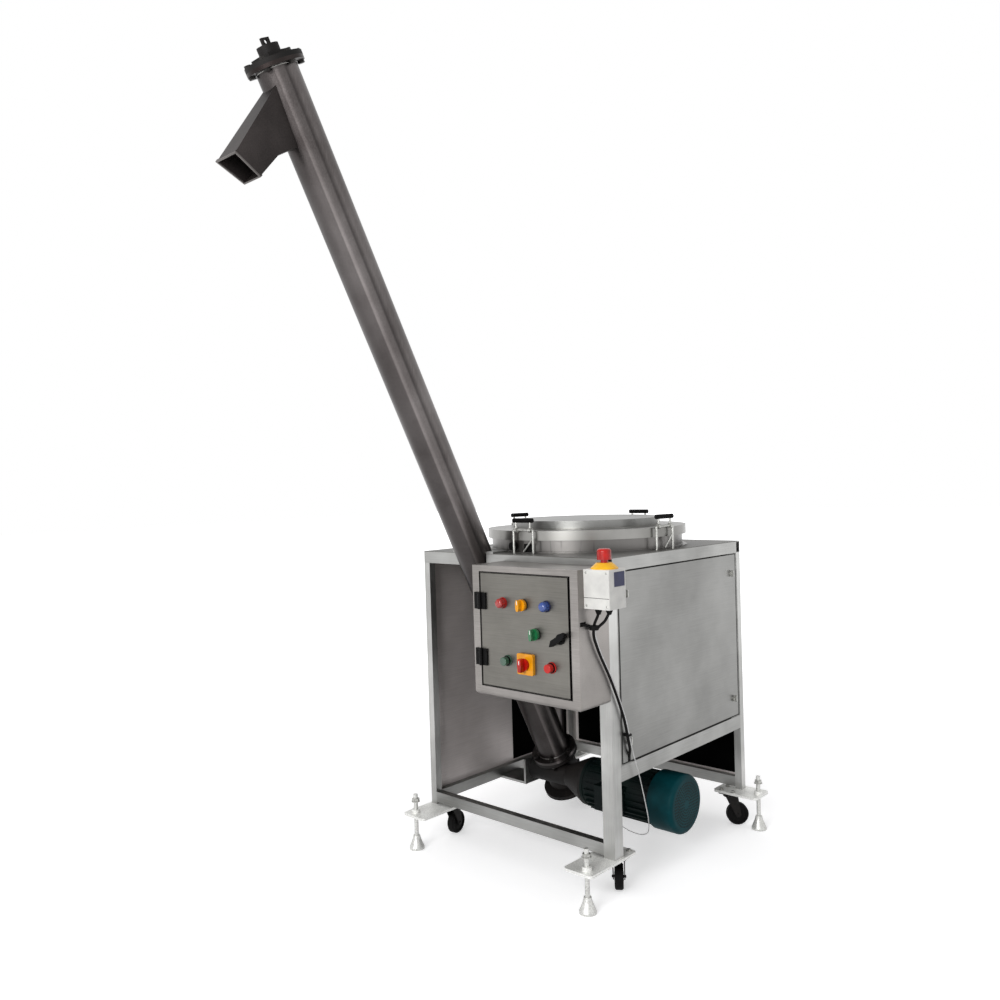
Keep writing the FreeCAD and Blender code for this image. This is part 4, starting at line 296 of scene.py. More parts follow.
def make_finishes(colours):
    """Every finish of the conveyor, named for what it is."""
    tube_turn = (-LEAN, 0, 0)
    # Past the top flange the pipe is painted dark, in the cast cover's tone: painted shade under the flange
    flange = (TOP_FLANGE, tube_turn, "#3f3a39", "#1d1817")
    # The spout's lip keeps a lighter rim round a mouth darkened as painted shade
    lip = (MOUTH_LIP.dot(MOUTH_OUT) - LIP_DEPTH, (-math.atan2(-MOUTH_OUT.y, MOUTH_OUT.z), 0, 0), "#7a7674",
           "#565250")
    hoop = (HOOP_Z, (0, 0, 0), colours.drum, "#6c6b68")
    return {
        "sheet": brushed_stainless("satin_stainless_sheet", colours.sheet, "#70706e", (700, 9, 700)),
        # A lighter, less metallic copy of the stainless sheet for the cabinet's inside faces: painted light,
        # so that they read lit
        "lit_inner_sheet": brushed_stainless("stainless_sheet_inside_painted_light", "#d9d2d0", "#b8b1af", (700, 9, 700),
                                         metallic=0.35),
        "deck": brushed_stainless("stainless_deck", "#6d6c69", "#4f4e4c", (8, 700, 700), roughness=0.45,
                                  metallic=0.8),
        "rail": brushed_stainless("stainless_frame_rail", "#a6a6a4", "#80807e", (8, 8, 900), roughness=0.38),
        "leg": brushed_stainless("stainless_leg", colours.leg, "#8e8e8c", (900, 900, 8), roughness=0.42),
        # The pipe carries painted shade and painted highlight round it, and painted shade past its top flange
        "tube": brushed_stainless("conveyor_pipe_painted_shade_and_highlight", colours.tube, "#4a4443", (900, 900, 5), tube_turn,
                                  upper=flange, painted_light_bands=PIPE_PAINTED_SHADE_AND_HIGHLIGHT),
        # Dark all over: painted shade for the spout's unlit mouth, matching its dark outside
        "spout": brushed_stainless("stainless_spout_painted_shade", "#4a4443", "#231f1e", (420, 420, 420), roughness=0.5,
                                   metallic=0.8, upper=lip),
        "drum": brushed_stainless("stainless_hopper", "#6d6b69", "#171615", (90, 90, 6), roughness=0.3,
                                  contrast=1.1, upper=hoop),
        "lid": brushed_stainless("stainless_lid", "#868684", "#636361", (9, 500, 500)),
        "box": brushed_stainless("stainless_control_box", "#938f8c", "#6f6c69", (10, 500, 500),
                                 roughness=0.4),
        "door": brushed_stainless("stainless_door", "#73716c", "#595753", (10, 500, 500), roughness=0.4),
        "plate": plated_steel("galvanised_plate", "#efefec", "#c9c9c6", 0.5, 0.45),
        "foot": plated_steel("zinc_plated_foot", "#d6d6d3", "#a9a9a6", 0.42, 0.6),
        "zinc": plated_steel("zinc_plated_steel", "#b9b9b5", "#82827e", 0.36),
        "black_bolt": plated_steel("black_oxide_bolt", "#2b2927", "#141312", 0.45, 0.7),
        "dark_iron": enamelled_casting("black_cast_iron", "#191615", "#080707", 0.6, 300.0, 0.25, 0.18),
        # The motor frame is the teal enamel darkened to near black: painted shade
        "motor": enamelled_casting("motor_frame_enamel_painted_shade", "#04120f", "#020809", 0.55, shine=0.12),
        "cowl": enamelled_casting("cowl_enamel", colours.motor, "#022428", 0.5, shine=0.08),
        "bronze": plated_steel("gear_bronze", "#b08550", "#7a5a34", 0.35, 1.0),
        "black": moulded_plastic("black_polyamide", BLACK, "#020202", 0.5, shine=0.1),
        "rubber": moulded_plastic("black_rubber", "#0d0c0c", "#040404", 0.7, 500.0, 0.15, 0.12),
        "white": moulded_plastic("white_abs_box", "#dddcd8", "#cac9c6", 0.4),
        "red": moulded_plastic("red_abs", "#c8170d", "#960f08", 0.26, shine=0.3, coat=0.1),
        "yellow": moulded_plastic("yellow_abs", "#eba00b", "#cc8405", 0.25, shine=0.3, coat=0.1,
                                  back=at(0, BEHIND_DOOR_Y, 0).y),
        "bright_yellow": moulded_plastic("bright_yellow_abs", "#f4bc0c", "#e2a206", 0.25, shine=0.3,
                                         coat=0.1),
        "green": moulded_plastic("green_abs", "#157844", "#0a522d", 0.18, coat=0.4),
        "dark_green": moulded_plastic("dark_green_abs", "#0e4f33", "#083522", 0.14, coat=0.6),
        "blue_plate": moulded_plastic("blue_blank_plate", "#1f2654", "#14193c", 0.35, shine=0.3),
        "ivory": moulded_plastic("white_marking", "#ececea", "#dcdcd8", 0.4),
        "red_lens": signal_lens("red_lens", "#c91a10", "#850c06"),
        "blue_lens": signal_lens("blue_lens", "#2855b4", "#12306b"),
        "wire": moulded_plastic("grey_pvc_wire", "#c9c9c9", "#a8a8a8", 0.45),
        # Black for painted shade inside the cabinet and round the door, and for the e-stop box's seam
        "shade_and_seam_black": moulded_plastic("black_painted_shade_and_seam", "#050505", "#020202", 0.95, 240.0, 0.3, 0.02),
    }


FINISHES = {}

NODE_FINISHES = {
    "deck": "deck", "side_panel_right": "sheet", "side_panel_left": "lit_inner_sheet",
    "rear_panel": "lit_inner_sheet", "panel_screws": "zinc", "frame_legs": "leg", "frame_rails": "rail",
    "base_plates": "plate", "caster_pads": "dark_iron", "control_box": "box", "control_door": "door",
    "hinge_leaves_box": "black", "hinge_leaves_door": "black", "lamp_red": "red_lens",
    "lamp_blue": "blue_lens", "selector_yellow": "yellow", "selector_green": "green",
    "start_button": "dark_green", "stop_button": "red", "main_switch_plate": "yellow",
    "main_switch_knob": "red", "lock_handle": "black", "control_bezels": "black", "estop_box": "white",
    "estop_collar": "bright_yellow", "estop_button": "red", "control_cable": "rubber", "motor_wire": "wire",
    "conveyor_tube": "tube", "discharge_spout": "spout", "end_cover": "dark_iron",
    "top_bearing": "dark_iron", "screw_shaft": "tube", "screw_flight": "tube",
    "gearbox_housing": "dark_iron", "worm_wheel": "bronze", "worm_shaft": "zinc", "motor_body": "motor",
    "fan_cowl": "cowl", "conveyor_brackets": "rail", "flange_bolts": "black_bolt", "hopper_drum": "drum",
    "hopper_lid": "lid", "latch_brackets": "zinc",
}
NODE_FAMILIES = {"caster_fork": "dark_iron", "caster_wheel": "rubber", "levelling_foot": "foot",
                 "latch_lever": "zinc"}


# Meshes

def show(name, mesh):
    """A new object with a mesh, in the scene."""
    item = bpy.data.objects.new(name, mesh)
    bpy.context.collection.objects.link(item)
    return item


def new_piece(name, mesh, finish, body):
    """Show a finished mesh as a piece that rides on a body."""
    item = show(name, mesh)
    mesh.materials.clear()
    mesh.materials.append(FINISHES[finish])
    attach(item, body)
    return item


def circle_places(radius, height, steps):
    """Places round +Z, in metres from a radius and a height in millimetres."""
    return [Vector((radius * MM * math.cos(2 * math.pi * i / steps),
                    radius * MM * math.sin(2 * math.pi * i / steps), height * MM)) for i in range(steps)]


def turned_mesh(name, profile, matrix, steps=32, hollow=False):
    """A closed solid turned round +Z from (radius, height) points in millimetres, whose ends are on the axis.
    A hollow one is a ring, whose profile joins up with itself."""
    mesh = bpy.data.meshes.new(name)
    work = bmesh.new()
    rings = []
    for radius, height in profile:
        spots = circle_places(radius, height, steps) if radius > 0 else [Vector((0, 0, height * MM))]
        rings.append([work.verts.new(spot) for spot in spots])
    for low, high in zip(rings, rings[1:] + (rings[:1] if hollow else [])):
        for i in range(steps):
            j = (i + 1) % steps
            corners = [low[i % len(low)], low[j % len(low)], high[j % len(high)], high[i % len(high)]]
            unique = list(dict.fromkeys(corners))
            if len(unique) > 2:
                work.faces.new(unique)
    bmesh.ops.recalc_face_normals(work, faces=work.faces)
    work.to_mesh(mesh)
    work.free()
    mesh.transform(matrix)
    return mesh


def plate_mesh(name, low, high, bevel=0.0):
    """A flat plate or block between two corners in metres, with its edges broken."""
    mesh = bpy.data.meshes.new(name)
    work = bmesh.new()
    bmesh.ops.create_cube(work, size=1.0)
    size = Vector(high) - Vector(low)
    middle = (Vector(high) + Vector(low)) / 2
    for vert in work.verts:
        vert.co = Vector((vert.co.x * size.x, vert.co.y * size.y, vert.co.z * size.z)) + middle
    if bevel:
        bmesh.ops.bevel(work, geom=work.edges[:], offset=bevel, segments=2, affect="EDGES", profile=0.5)
    work.to_mesh(mesh)
    work.free()
    return mesh


def points_mesh(name, places):
    mesh = bpy.data.meshes.new(name)
    mesh.from_pydata([tuple(p) for p in places], [], [])
    return mesh


def ring_mesh(name, place, direction, radius, steps=96):
    """A closed line of edges round a direction."""
    matrix = lie(place, direction)
    spots = [matrix @ spot for spot in circle_places(radius, 0, steps)]
    mesh = bpy.data.meshes.new(name)
    mesh.from_pydata([tuple(p) for p in spots], [(i, (i + 1) % steps) for i in range(steps)], [])
    return mesh


# Geometry Nodes trees

def settled(item):
    """Turn an object's Geometry Nodes result into its own plain mesh and drop the modifier."""
    bpy.context.view_layer.update()
    result = bpy.data.meshes.new_from_object(item.evaluated_get(bpy.context.evaluated_depsgraph_get()))
    item.modifiers.clear()
    old = item.data
    item.data = result
    if old.users == 0:
        bpy.data.meshes.remove(old)
    return item


def grow(name, mesh, tree, finish, body, values, smooth=False):
    """Run a Geometry Nodes tree on a mesh and keep the result as a piece."""
    item = show(name, mesh)
    modifier = item.modifiers.new("growth", "NODES")
    modifier.node_group = tree
    wanted = dict(values, Material=FINISHES[finish])
    for socket in tree.interface.items_tree:
        if socket.item_type == "SOCKET" and socket.in_out == "INPUT" and socket.name in wanted:
            modifier[socket.identifier] = wanted[socket.name]
    settled(item)
    item.data.materials.clear()
    item.data.materials.append(FINISHES[finish])
    for face in item.data.polygons:
        face.material_index = 0
        face.use_smooth = smooth
    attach(item, body)
    return item


def start_growth(name, inputs):
    """A Geometry Nodes tree with a geometry, a material and named inputs."""
    tree = bpy.data.node_groups.new(name, "GeometryNodeTree")
    tree.interface.new_socket("Geometry", in_out="INPUT", socket_type="NodeSocketGeometry")
    for label, kind, value in inputs:
        socket = tree.interface.new_socket(label, in_out="INPUT", socket_type=kind)
        socket.default_value = value
    tree.interface.new_socket("Material", in_out="INPUT", socket_type="NodeSocketMaterial")
    tree.interface.new_socket("Geometry", in_out="OUTPUT", socket_type="NodeSocketGeometry")
    return tree, tree.nodes.new("NodeGroupInput")


def finish_growth(tree, given, geometry):
    real = add_node(tree, "GeometryNodeRealizeInstances", [("Geometry", geometry)])
    coat = add_node(tree, "GeometryNodeSetMaterial",
                    [("Geometry", real.outputs[0]), ("Material", given.outputs["Material"])])
    add_node(tree, "NodeGroupOutput", [("Geometry", coat.outputs[0])])
    return tree


def spread_and_finish(tree, given, shape):
    """Put a shape on every point, facing the given way, and end the tree."""
    spread = add_node(tree, "GeometryNodeInstanceOnPoints",
                      [("Points", given.outputs["Geometry"]), ("Instance", shape),
                       ("Rotation", given.outputs["Facing"])])
    return finish_growth(tree, given, spread.outputs[0])


def hex_head_growth():
    """A hexagon head or nut on its washer at every point, facing the given way."""
    tree, given = start_growth("hex_heads", [
        ("Across Corners", "NodeSocketFloat", 0.019), ("Head Height", "NodeSocketFloat", 0.007),
        ("Washer Radius", "NodeSocketFloat", 0.011), ("Washer Height", "NodeSocketFloat", 0.0015),
        ("Facing", "NodeSocketRotation", (0, 0, 0))])
    head_high, washer_high = given.outputs["Head Height"], given.outputs["Washer Height"]
    half = add_node(tree, "ShaderNodeMath", [(0, given.outputs["Across Corners"]), (1, 0.5)],
                    operation="MULTIPLY")
    head = add_node(tree, "GeometryNodeMeshCylinder", [("Radius", half.outputs[0]), ("Depth", head_high)],
                    Vertices=6)
    washer = add_node(tree, "GeometryNodeMeshCylinder",
                      [("Radius", given.outputs["Washer Radius"]), ("Depth", washer_high)], Vertices=20)
    middle = add_node(tree, "ShaderNodeMath", [(0, head_high), (1, 0.5), (2, washer_high)],
                      operation="MULTIPLY_ADD")
    lift = add_node(tree, "ShaderNodeCombineXYZ", [("Z", middle.outputs[0])])
    low = add_node(tree, "ShaderNodeMath", [(0, washer_high), (1, 0.5)], operation="MULTIPLY")
    low_lift = add_node(tree, "ShaderNodeCombineXYZ", [("Z", low.outputs[0])])
    head_up = add_node(tree, "GeometryNodeTransform",
                       [("Geometry", head.outputs["Mesh"]), ("Translation", lift.outputs[0])])
    washer_up = add_node(tree, "GeometryNodeTransform",
                         [("Geometry", washer.outputs["Mesh"]), ("Translation", low_lift.outputs[0])])
    both = add_node(tree, "GeometryNodeJoinGeometry", [(0, head_up.outputs[0]), (0, washer_up.outputs[0])])
    return spread_and_finish(tree, given, both.outputs[0])


def screw_head_growth():
    """A pan head screw at every point, facing the given way."""
    tree, given = start_growth("pan_heads", [
        ("Head Radius", "NodeSocketFloat", 0.004), ("Head Height", "NodeSocketFloat", 0.002),
        ("Facing", "NodeSocketRotation", (0, 0, 0))])
    head = add_node(tree, "GeometryNodeMeshUVSphere", [("Radius", given.outputs["Head Radius"])], Segments=16,
                    Rings=8)
    flat = add_node(tree, "ShaderNodeMath",
                    [(0, given.outputs["Head Height"]), (1, given.outputs["Head Radius"])],
                    operation="DIVIDE")
    shape = add_node(tree, "ShaderNodeCombineXYZ", [("Z", flat.outputs[0])], X=1.0, Y=1.0)
    squat = add_node(tree, "GeometryNodeTransform",
                     [("Geometry", head.outputs["Mesh"]), ("Scale", shape.outputs[0])])
    return spread_and_finish(tree, given, squat.outputs[0])


def perforation_growth():
    """A dark round hole, a thin disc, at every point, facing the given way."""
    tree, given = start_growth("perforations", [
        ("Hole Radius", "NodeSocketFloat", 0.0025), ("Facing", "NodeSocketRotation", (0, 0, 0))])
    disc = add_node(tree, "GeometryNodeMeshCylinder", [("Radius", given.outputs["Hole Radius"])], Vertices=12,
                    Depth=0.0006)
    return spread_and_finish(tree, given, disc.outputs["Mesh"])


def weld_growth():
    """A weld bead along the edges of a ring: a round section that swells at every ripple."""
    tree, given = start_growth("weld_bead", [
        ("Bead Radius", "NodeSocketFloat", 0.0025), ("Ripple Spacing", "NodeSocketFloat", 0.004)])
    curve = add_node(tree, "GeometryNodeMeshToCurve", [("Mesh", given.outputs["Geometry"])])
    step = add_node(tree, "ShaderNodeMath", [(0, given.outputs["Ripple Spacing"]), (1, 0.5)],
                    operation="MULTIPLY")
    even = add_node(tree, "GeometryNodeResampleCurve",
                    [("Curve", curve.outputs[0]), ("Length", step.outputs[0])], mode="LENGTH")
    index = add_node(tree, "GeometryNodeInputIndex")
    odd = add_node(tree, "ShaderNodeMath", [(0, index.outputs[0]), (1, 2.0)], operation="MODULO")
    between, swell_by = 0.85, 0.22
    swell = add_node(tree, "ShaderNodeMath", [(0, odd.outputs[0]), (1, swell_by), (2, between)],
                     operation="MULTIPLY_ADD")
    section = add_node(tree, "GeometryNodeCurvePrimitiveCircle", [("Radius", given.outputs["Bead Radius"])],
                       Resolution=6)
    bead = add_node(tree, "GeometryNodeCurveToMesh",
                    [("Curve", even.outputs[0]), ("Profile Curve", section.outputs[0]),
                     ("Scale", swell.outputs[0])], Fill_Caps=True)
    return finish_growth(tree, given, bead.outputs[0])


# Sizes and colours that a user would change

class ConveyorColours(bpy.types.PropertyGroup):
    sheet: bpy.props.StringProperty(name="Side panels", description="Light tone of the satin sheet, sRGB hex",
                                    default="#898987")
    leg: bpy.props.StringProperty(name="Legs", description="Light tone of the legs, sRGB hex",
                                  default="#bdbdbb")
    tube: bpy.props.StringProperty(name="Conveyor tube", description="Light tone of the tube, sRGB hex",
                                   default="#807b7a")
    drum: bpy.props.StringProperty(name="Hopper", description="Light tone of the hopper, sRGB hex",
                                   default="#979693")
    motor: bpy.props.StringProperty(name="Motor", description="Light tone of the motor's enamel, sRGB hex",
                                    default="#053c42")


class ConveyorSizes(bpy.types.PropertyGroup):
    bead: bpy.props.FloatProperty(name="Weld bead", description="Radius of the weld beads", default=0.0022,
                                  min=0.001, max=0.006, unit="LENGTH")
    ripple: bpy.props.FloatProperty(name="Weld ripple", description="Distance between weld ripples",
                                    default=0.007, min=0.003, max=0.02, unit="LENGTH")
    nut: bpy.props.FloatProperty(name="Lock nut", description="The feet's lock nuts over their corners",
                                 default=0.0255, min=0.018, max=0.03, unit="LENGTH")
    mat: bpy.props.FloatProperty(name="Painted shade sheet", description="Thickness of the black sheets of painted shade inside the cabinet",
                                 default=0.0015, min=0.0005, max=0.004, unit="LENGTH")
    hole: bpy.props.FloatProperty(name="Cowl holes", description="Radius of the holes in the fan cowl",
                                  default=0.0028, min=0.001, max=0.005, unit="LENGTH")
    door_gap_shade: bpy.props.FloatProperty(name="Door gap shade", description="How far the painted shade strips round the door stand off the box",
                                  default=0.0006, min=0.0002, max=0.002, unit="LENGTH")


# One operator for each piece or group of like pieces

# Name, place, what it looks at, size in metres and power in watts
LAMPS = (("key_light", (1.2, -5.4, 2.4), (-0.1, 0, 0.7), 2.6, 215),
         ("side_light", (5.0, 1.0, 3.0), (0, 0.4, 0.8), 3.0, 15))
WORLD_LIGHT = 0.62
WHITE = (1, 1, 1, 1)
FLOOR_TONE = (0.9, 0.9, 0.91, 1)
FLOOR_BOUNCE_TONE = (0.45, 0.45, 0.45, 1)
FLOOR_REACH = 30
FLOOR_THICK = 0.02
# The floor's own glow grows from its first strength to white between these distances from the origin
GLOW_STRENGTHS = (0.40, 1.0)
GLOW_DISTANCES = (1.0, 3.5)
CAMERA_AT = (1876.51, -2441.94, 1200)
CAMERA_RIGHT = (0.7341, 0.6784, -0.02967)
CAMERA_AHEAD = (-0.6790, 0.7340, -0.01675)
CAMERA_LENS = 32.13
CAMERA_SENSOR = 36.0


class CONVEYOR_OT_stage(bpy.types.Operator):
    """Make the floor, the light and the camera"""
    bl_idname = "conveyor.stage"
    bl_label = "Stage"

    def execute(self, context):
        context.scene.view_settings.view_transform = "Standard"
        self.light_world(context.scene)
        self.lay_floor()
        for name, place, look, size, power in LAMPS:
            lamp = bpy.data.lights.new(name, "AREA")
            lamp.size = size
            lamp.energy = power
            item = show(name, lamp)
            item.location = place
            item.rotation_euler = (Vector(look) - Vector(place)).to_track_quat("-Z", "Y").to_euler()
        self.set_camera(context.scene)
        return {"FINISHED"}

    def light_world(self, scene):
        """A plain studio that shows white to the camera and in mirrors and lights the object less."""
        world = bpy.data.worlds.new("plain_studio")
        scene.world = world
        world.use_nodes = True
        tree = world.node_tree
        tree.nodes.clear()
        path = add_node(tree, "ShaderNodeLightPath")
        mirrored = add_node(tree, "ShaderNodeMath",
                            [(0, path.outputs["Is Glossy Ray"]), (1, path.outputs["Is Transmission Ray"])],
                            operation="MAXIMUM")
        seen = add_node(tree, "ShaderNodeMath",
                        [(0, path.outputs["Is Camera Ray"]), (1, mirrored.outputs[0])], operation="MAXIMUM")
        shown = add_node(tree, "ShaderNodeBackground", Color=WHITE, Strength=1.0)
        lit = add_node(tree, "ShaderNodeBackground", Color=WHITE, Strength=WORLD_LIGHT)
        either = add_node(tree, "ShaderNodeMixShader",
                          [(0, seen.outputs[0]), (1, lit.outputs[0]), (2, shown.outputs[0])])
        add_node(tree, "ShaderNodeOutputWorld", [("Surface", either.outputs[0])])

    def lay_floor(self):
        """A pale floor that turns white far from the object. Other light than the camera's and mirrors' sees
        it grey, so that it throws less light up."""
        mesh = plate_mesh("studio_floor", (-FLOOR_REACH, -FLOOR_REACH, -FLOOR_THICK),
                          (FLOOR_REACH, FLOOR_REACH, 0.0))
        floor = show("studio_floor", mesh)
        material, tree = start_material("pale_floor")
        path = add_node(tree, "ShaderNodeLightPath")
        diffuse = add_node(tree, "ShaderNodeBsdfDiffuse", Color=FLOOR_TONE)
        place = add_node(tree, "ShaderNodeVectorMath", [(0, object_place(tree).outputs[0])],
                         operation="LENGTH")
        far = add_node(tree, "ShaderNodeMapRange",
                       [("Value", place.outputs["Value"]), ("From Min", GLOW_DISTANCES[0]),
                        ("From Max", GLOW_DISTANCES[1]), ("To Min", GLOW_STRENGTHS[0]),
                        ("To Max", GLOW_STRENGTHS[1])])
        glow = add_node(tree, "ShaderNodeEmission", [("Strength", far.outputs[0])], Color=WHITE)
        both = add_node(tree, "ShaderNodeAddShader", [(0, diffuse.outputs[0]), (1, glow.outputs[0])])
        dim = add_node(tree, "ShaderNodeBsdfDiffuse", Color=FLOOR_BOUNCE_TONE)
        seen = add_node(tree, "ShaderNodeMath",
                        [(0, path.outputs["Is Camera Ray"]), (1, path.outputs["Is Glossy Ray"])],
                        operation="MAXIMUM")
        either = add_node(tree, "ShaderNodeMixShader",
                          [(0, seen.outputs[0]), (1, dim.outputs[0]), (2, both.outputs[0])])
        finish_material(tree, either)
        mesh.materials.append(material)

    def set_camera(self, scene):
        """The photograph's camera, from its place and two directions."""
        lens = bpy.data.cameras.new("photo_camera")
        lens.lens = CAMERA_LENS
        lens.sensor_width = CAMERA_SENSOR
        camera = show("photo_camera", lens)
        right = Vector(CAMERA_RIGHT).normalized()
        ahead = Vector(CAMERA_AHEAD)
        ahead = (ahead - right * ahead.dot(right)).normalized()
        turn = Matrix((right, right.cross(ahead), -ahead)).transposed()
        camera.matrix_world = Matrix.Translation(at(*CAMERA_AT)) @ turn.to_4x4()
        scene.camera = camera


class CONVEYOR_OT_finishes(bpy.types.Operator):
    """Give every carried-over solid its finish"""
    bl_idname = "conveyor.finishes"
    bl_label = "Finishes"

    def execute(self, context):
        FINISHES.update(make_finishes(context.scene.conveyor_colours))
        for name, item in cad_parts.items():
            finish = NODE_FINISHES.get(name)
            if finish is None:
                finish = next(value for family, value in NODE_FAMILIES.items() if name.startswith(family))
            item.data.materials.clear()
            item.data.materials.append(FINISHES[finish])
        return {"FINISHED"}


LEG_INNER_X = 334
FRONT_LEG_Y = -338
REAR_LEG_Y = 354


def in_leg(x, y):
    """Whether a place on the base plates is under a leg or a weld nut."""
    return abs(x) > LEG_INNER_X and (y < FRONT_LEG_Y or y > REAR_LEG_Y)


CASTER_BOLT_OFF = 22
LOCK_NUT_Z = 157
ESTOP_FACE_Y = -500
ESTOP_SCREW_X = (391, 459)
ESTOP_SCREW_Z = (864, 954)
HINGE_FACE_Y = -532
HINGE_Z = (856, 688)
HINGE_SCREW_OFF = 16
HINGE_SCREW_X = {"box": -2.5, "door": 32.5}


class CONVEYOR_OT_fasteners(bpy.types.Operator):
    """Add the caster bolts, lock nuts and small screws"""
    bl_idname = "conveyor.fasteners"
    bl_label = "Fasteners"

    def execute(self, context):
        sizes = context.scene.conveyor_sizes
        heads = hex_head_growth()
        pans = screw_head_growth()
        sides = (-CASTER_BOLT_OFF, CASTER_BOLT_OFF)
        corners = [(x + dx, y + dy) for x, y in CASTERS for dx in sides for dy in sides]
        free = [at(x, y, PLATE_TOP_Z) for x, y in corners if not in_leg(x, y)]
        grow("caster_bolts", points_mesh("caster_bolts", free), heads, "zinc", "machine",
             {"Across Corners": 0.013, "Head Height": 0.005, "Washer Radius": 0.008, "Washer Height": 0.0012})
        for name, (x, y) in FEET.items():
            label = "lock_nut_" + name
            grow(label, points_mesh(label, [at(x, y, LOCK_NUT_Z)]), heads, "zinc", "foot_" + name,
                 {"Across Corners": sizes.nut, "Head Height": 0.009, "Washer Radius": 0.014,
                  "Washer Height": 0.002})
        lid_screws = [at(x, ESTOP_FACE_Y, z) for x in ESTOP_SCREW_X for z in ESTOP_SCREW_Z]
        levels = [z + dz for z in HINGE_Z for dz in (-HINGE_SCREW_OFF, HINGE_SCREW_OFF)]
        leaf_screws = {leaf: [at(x, HINGE_FACE_Y, level) for level in levels]
                       for leaf, x in HINGE_SCREW_X.items()}
        for name, places, finish, body, radius in (
                ("estop_box_screws", lid_screws, "zinc", "machine", 0.0034),
                ("hinge_screws_box", leaf_screws["box"], "black", "machine", 0.0032),
                ("hinge_screws_door", leaf_screws["door"], "black", "door", 0.0032)):
            grow(name, points_mesh(name, places), pans, finish, body,
                 {"Head Radius": radius, "Head Height": 0.0014, "Facing": TO_FRONT}, smooth=True)
        return {"FINISHED"}


# Name, middle, direction and radius in millimetres
WELD_RINGS = (
    ("weld_low_flange", on_tube(10.6), TUBE_UP, TUBE_R + 0.6),
    ("weld_top_flange", on_tube(TUBE_LENGTH - 10.6), TUBE_UP, TUBE_R + 0.6),
    ("weld_chute_flange", at(TUBE_X, CHUTE_Y, 493.5), UP, 45.6),
    ("weld_cone_flange", at(TUBE_X, CHUTE_Y, 506.8), UP, 46.6),
    ("weld_drum_foot", at(0, HOPPER_Y, 985.5), UP, 325.6),
    ("weld_hopper_neck", at(0, HOPPER_Y, 1052.4), UP, 248.8))


class CONVEYOR_OT_welds(bpy.types.Operator):
    """Add the weld beads at the flanges, the inlet chute and the hopper"""
    bl_idname = "conveyor.welds"
    bl_label = "Welds"

    def execute(self, context):
        sizes = context.scene.conveyor_sizes
        bead = weld_growth()
        for name, place, direction, radius in WELD_RINGS:
            grow(name, ring_mesh(name, place, direction, radius), bead, "drum", "machine",
                 {"Bead Radius": sizes.bead, "Ripple Spacing": sizes.ripple}, smooth=True)
        return {"FINISHED"}


COWL_ROWS = range(2, 9)
COWL_ROW_GAP = 0.0085
COWL_HOLE_GAP = 0.0092


class CONVEYOR_OT_cowl_grille(bpy.types.Operator):
    """Add the perforations in the back of the fan cowl"""
    bl_idname = "conveyor.cowl_grille"
    bl_label = "Cowl Grille"

    def execute(self, context):
        low, high = (Vector(corner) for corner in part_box("fan_cowl"))
        middle = (low + high) / 2
        spots = []
        for row in COWL_ROWS:
            radius = row * COWL_ROW_GAP
            count = int(2 * math.pi * radius / COWL_HOLE_GAP)
            for i in range(count):
                angle = 2 * math.pi * i / count
                spots.append(Vector((high.x, middle.y + radius * math.cos(angle),
                                     middle.z + radius * math.sin(angle))))
        grow("cowl_holes", points_mesh("cowl_holes", spots), perforation_growth(), "motor", "machine",
             {"Hole Radius": context.scene.conveyor_sizes.hole, "Facing": TO_RIGHT})
        return {"FINISHED"}


# Where the black sheets of painted shade stand inside the cabinet
SHADE_SHEET_X = 381
SHADE_SHEET_Y = 387
SHADE_SHEET_LOW_Z = 168
SHADE_SHEET_TOP_Z = 900
PANEL_GAP_SHADE_WIDTH = 0.0032
PANEL_GAP_SHADE_HEIGHT = 0.0004
# The painted shade strips round the door: outer and inner edges, left, right, low and top, and the room where
# two strips meet
DOOR_GAP_SHADE_OUTER = (10.0, 355.0, 601.0, 944.0)
DOOR_GAP_SHADE_INNER = (13.6, 349.4, 603.6, 941.4)
DOOR_GAP_SHADE_ROOM = 0.2


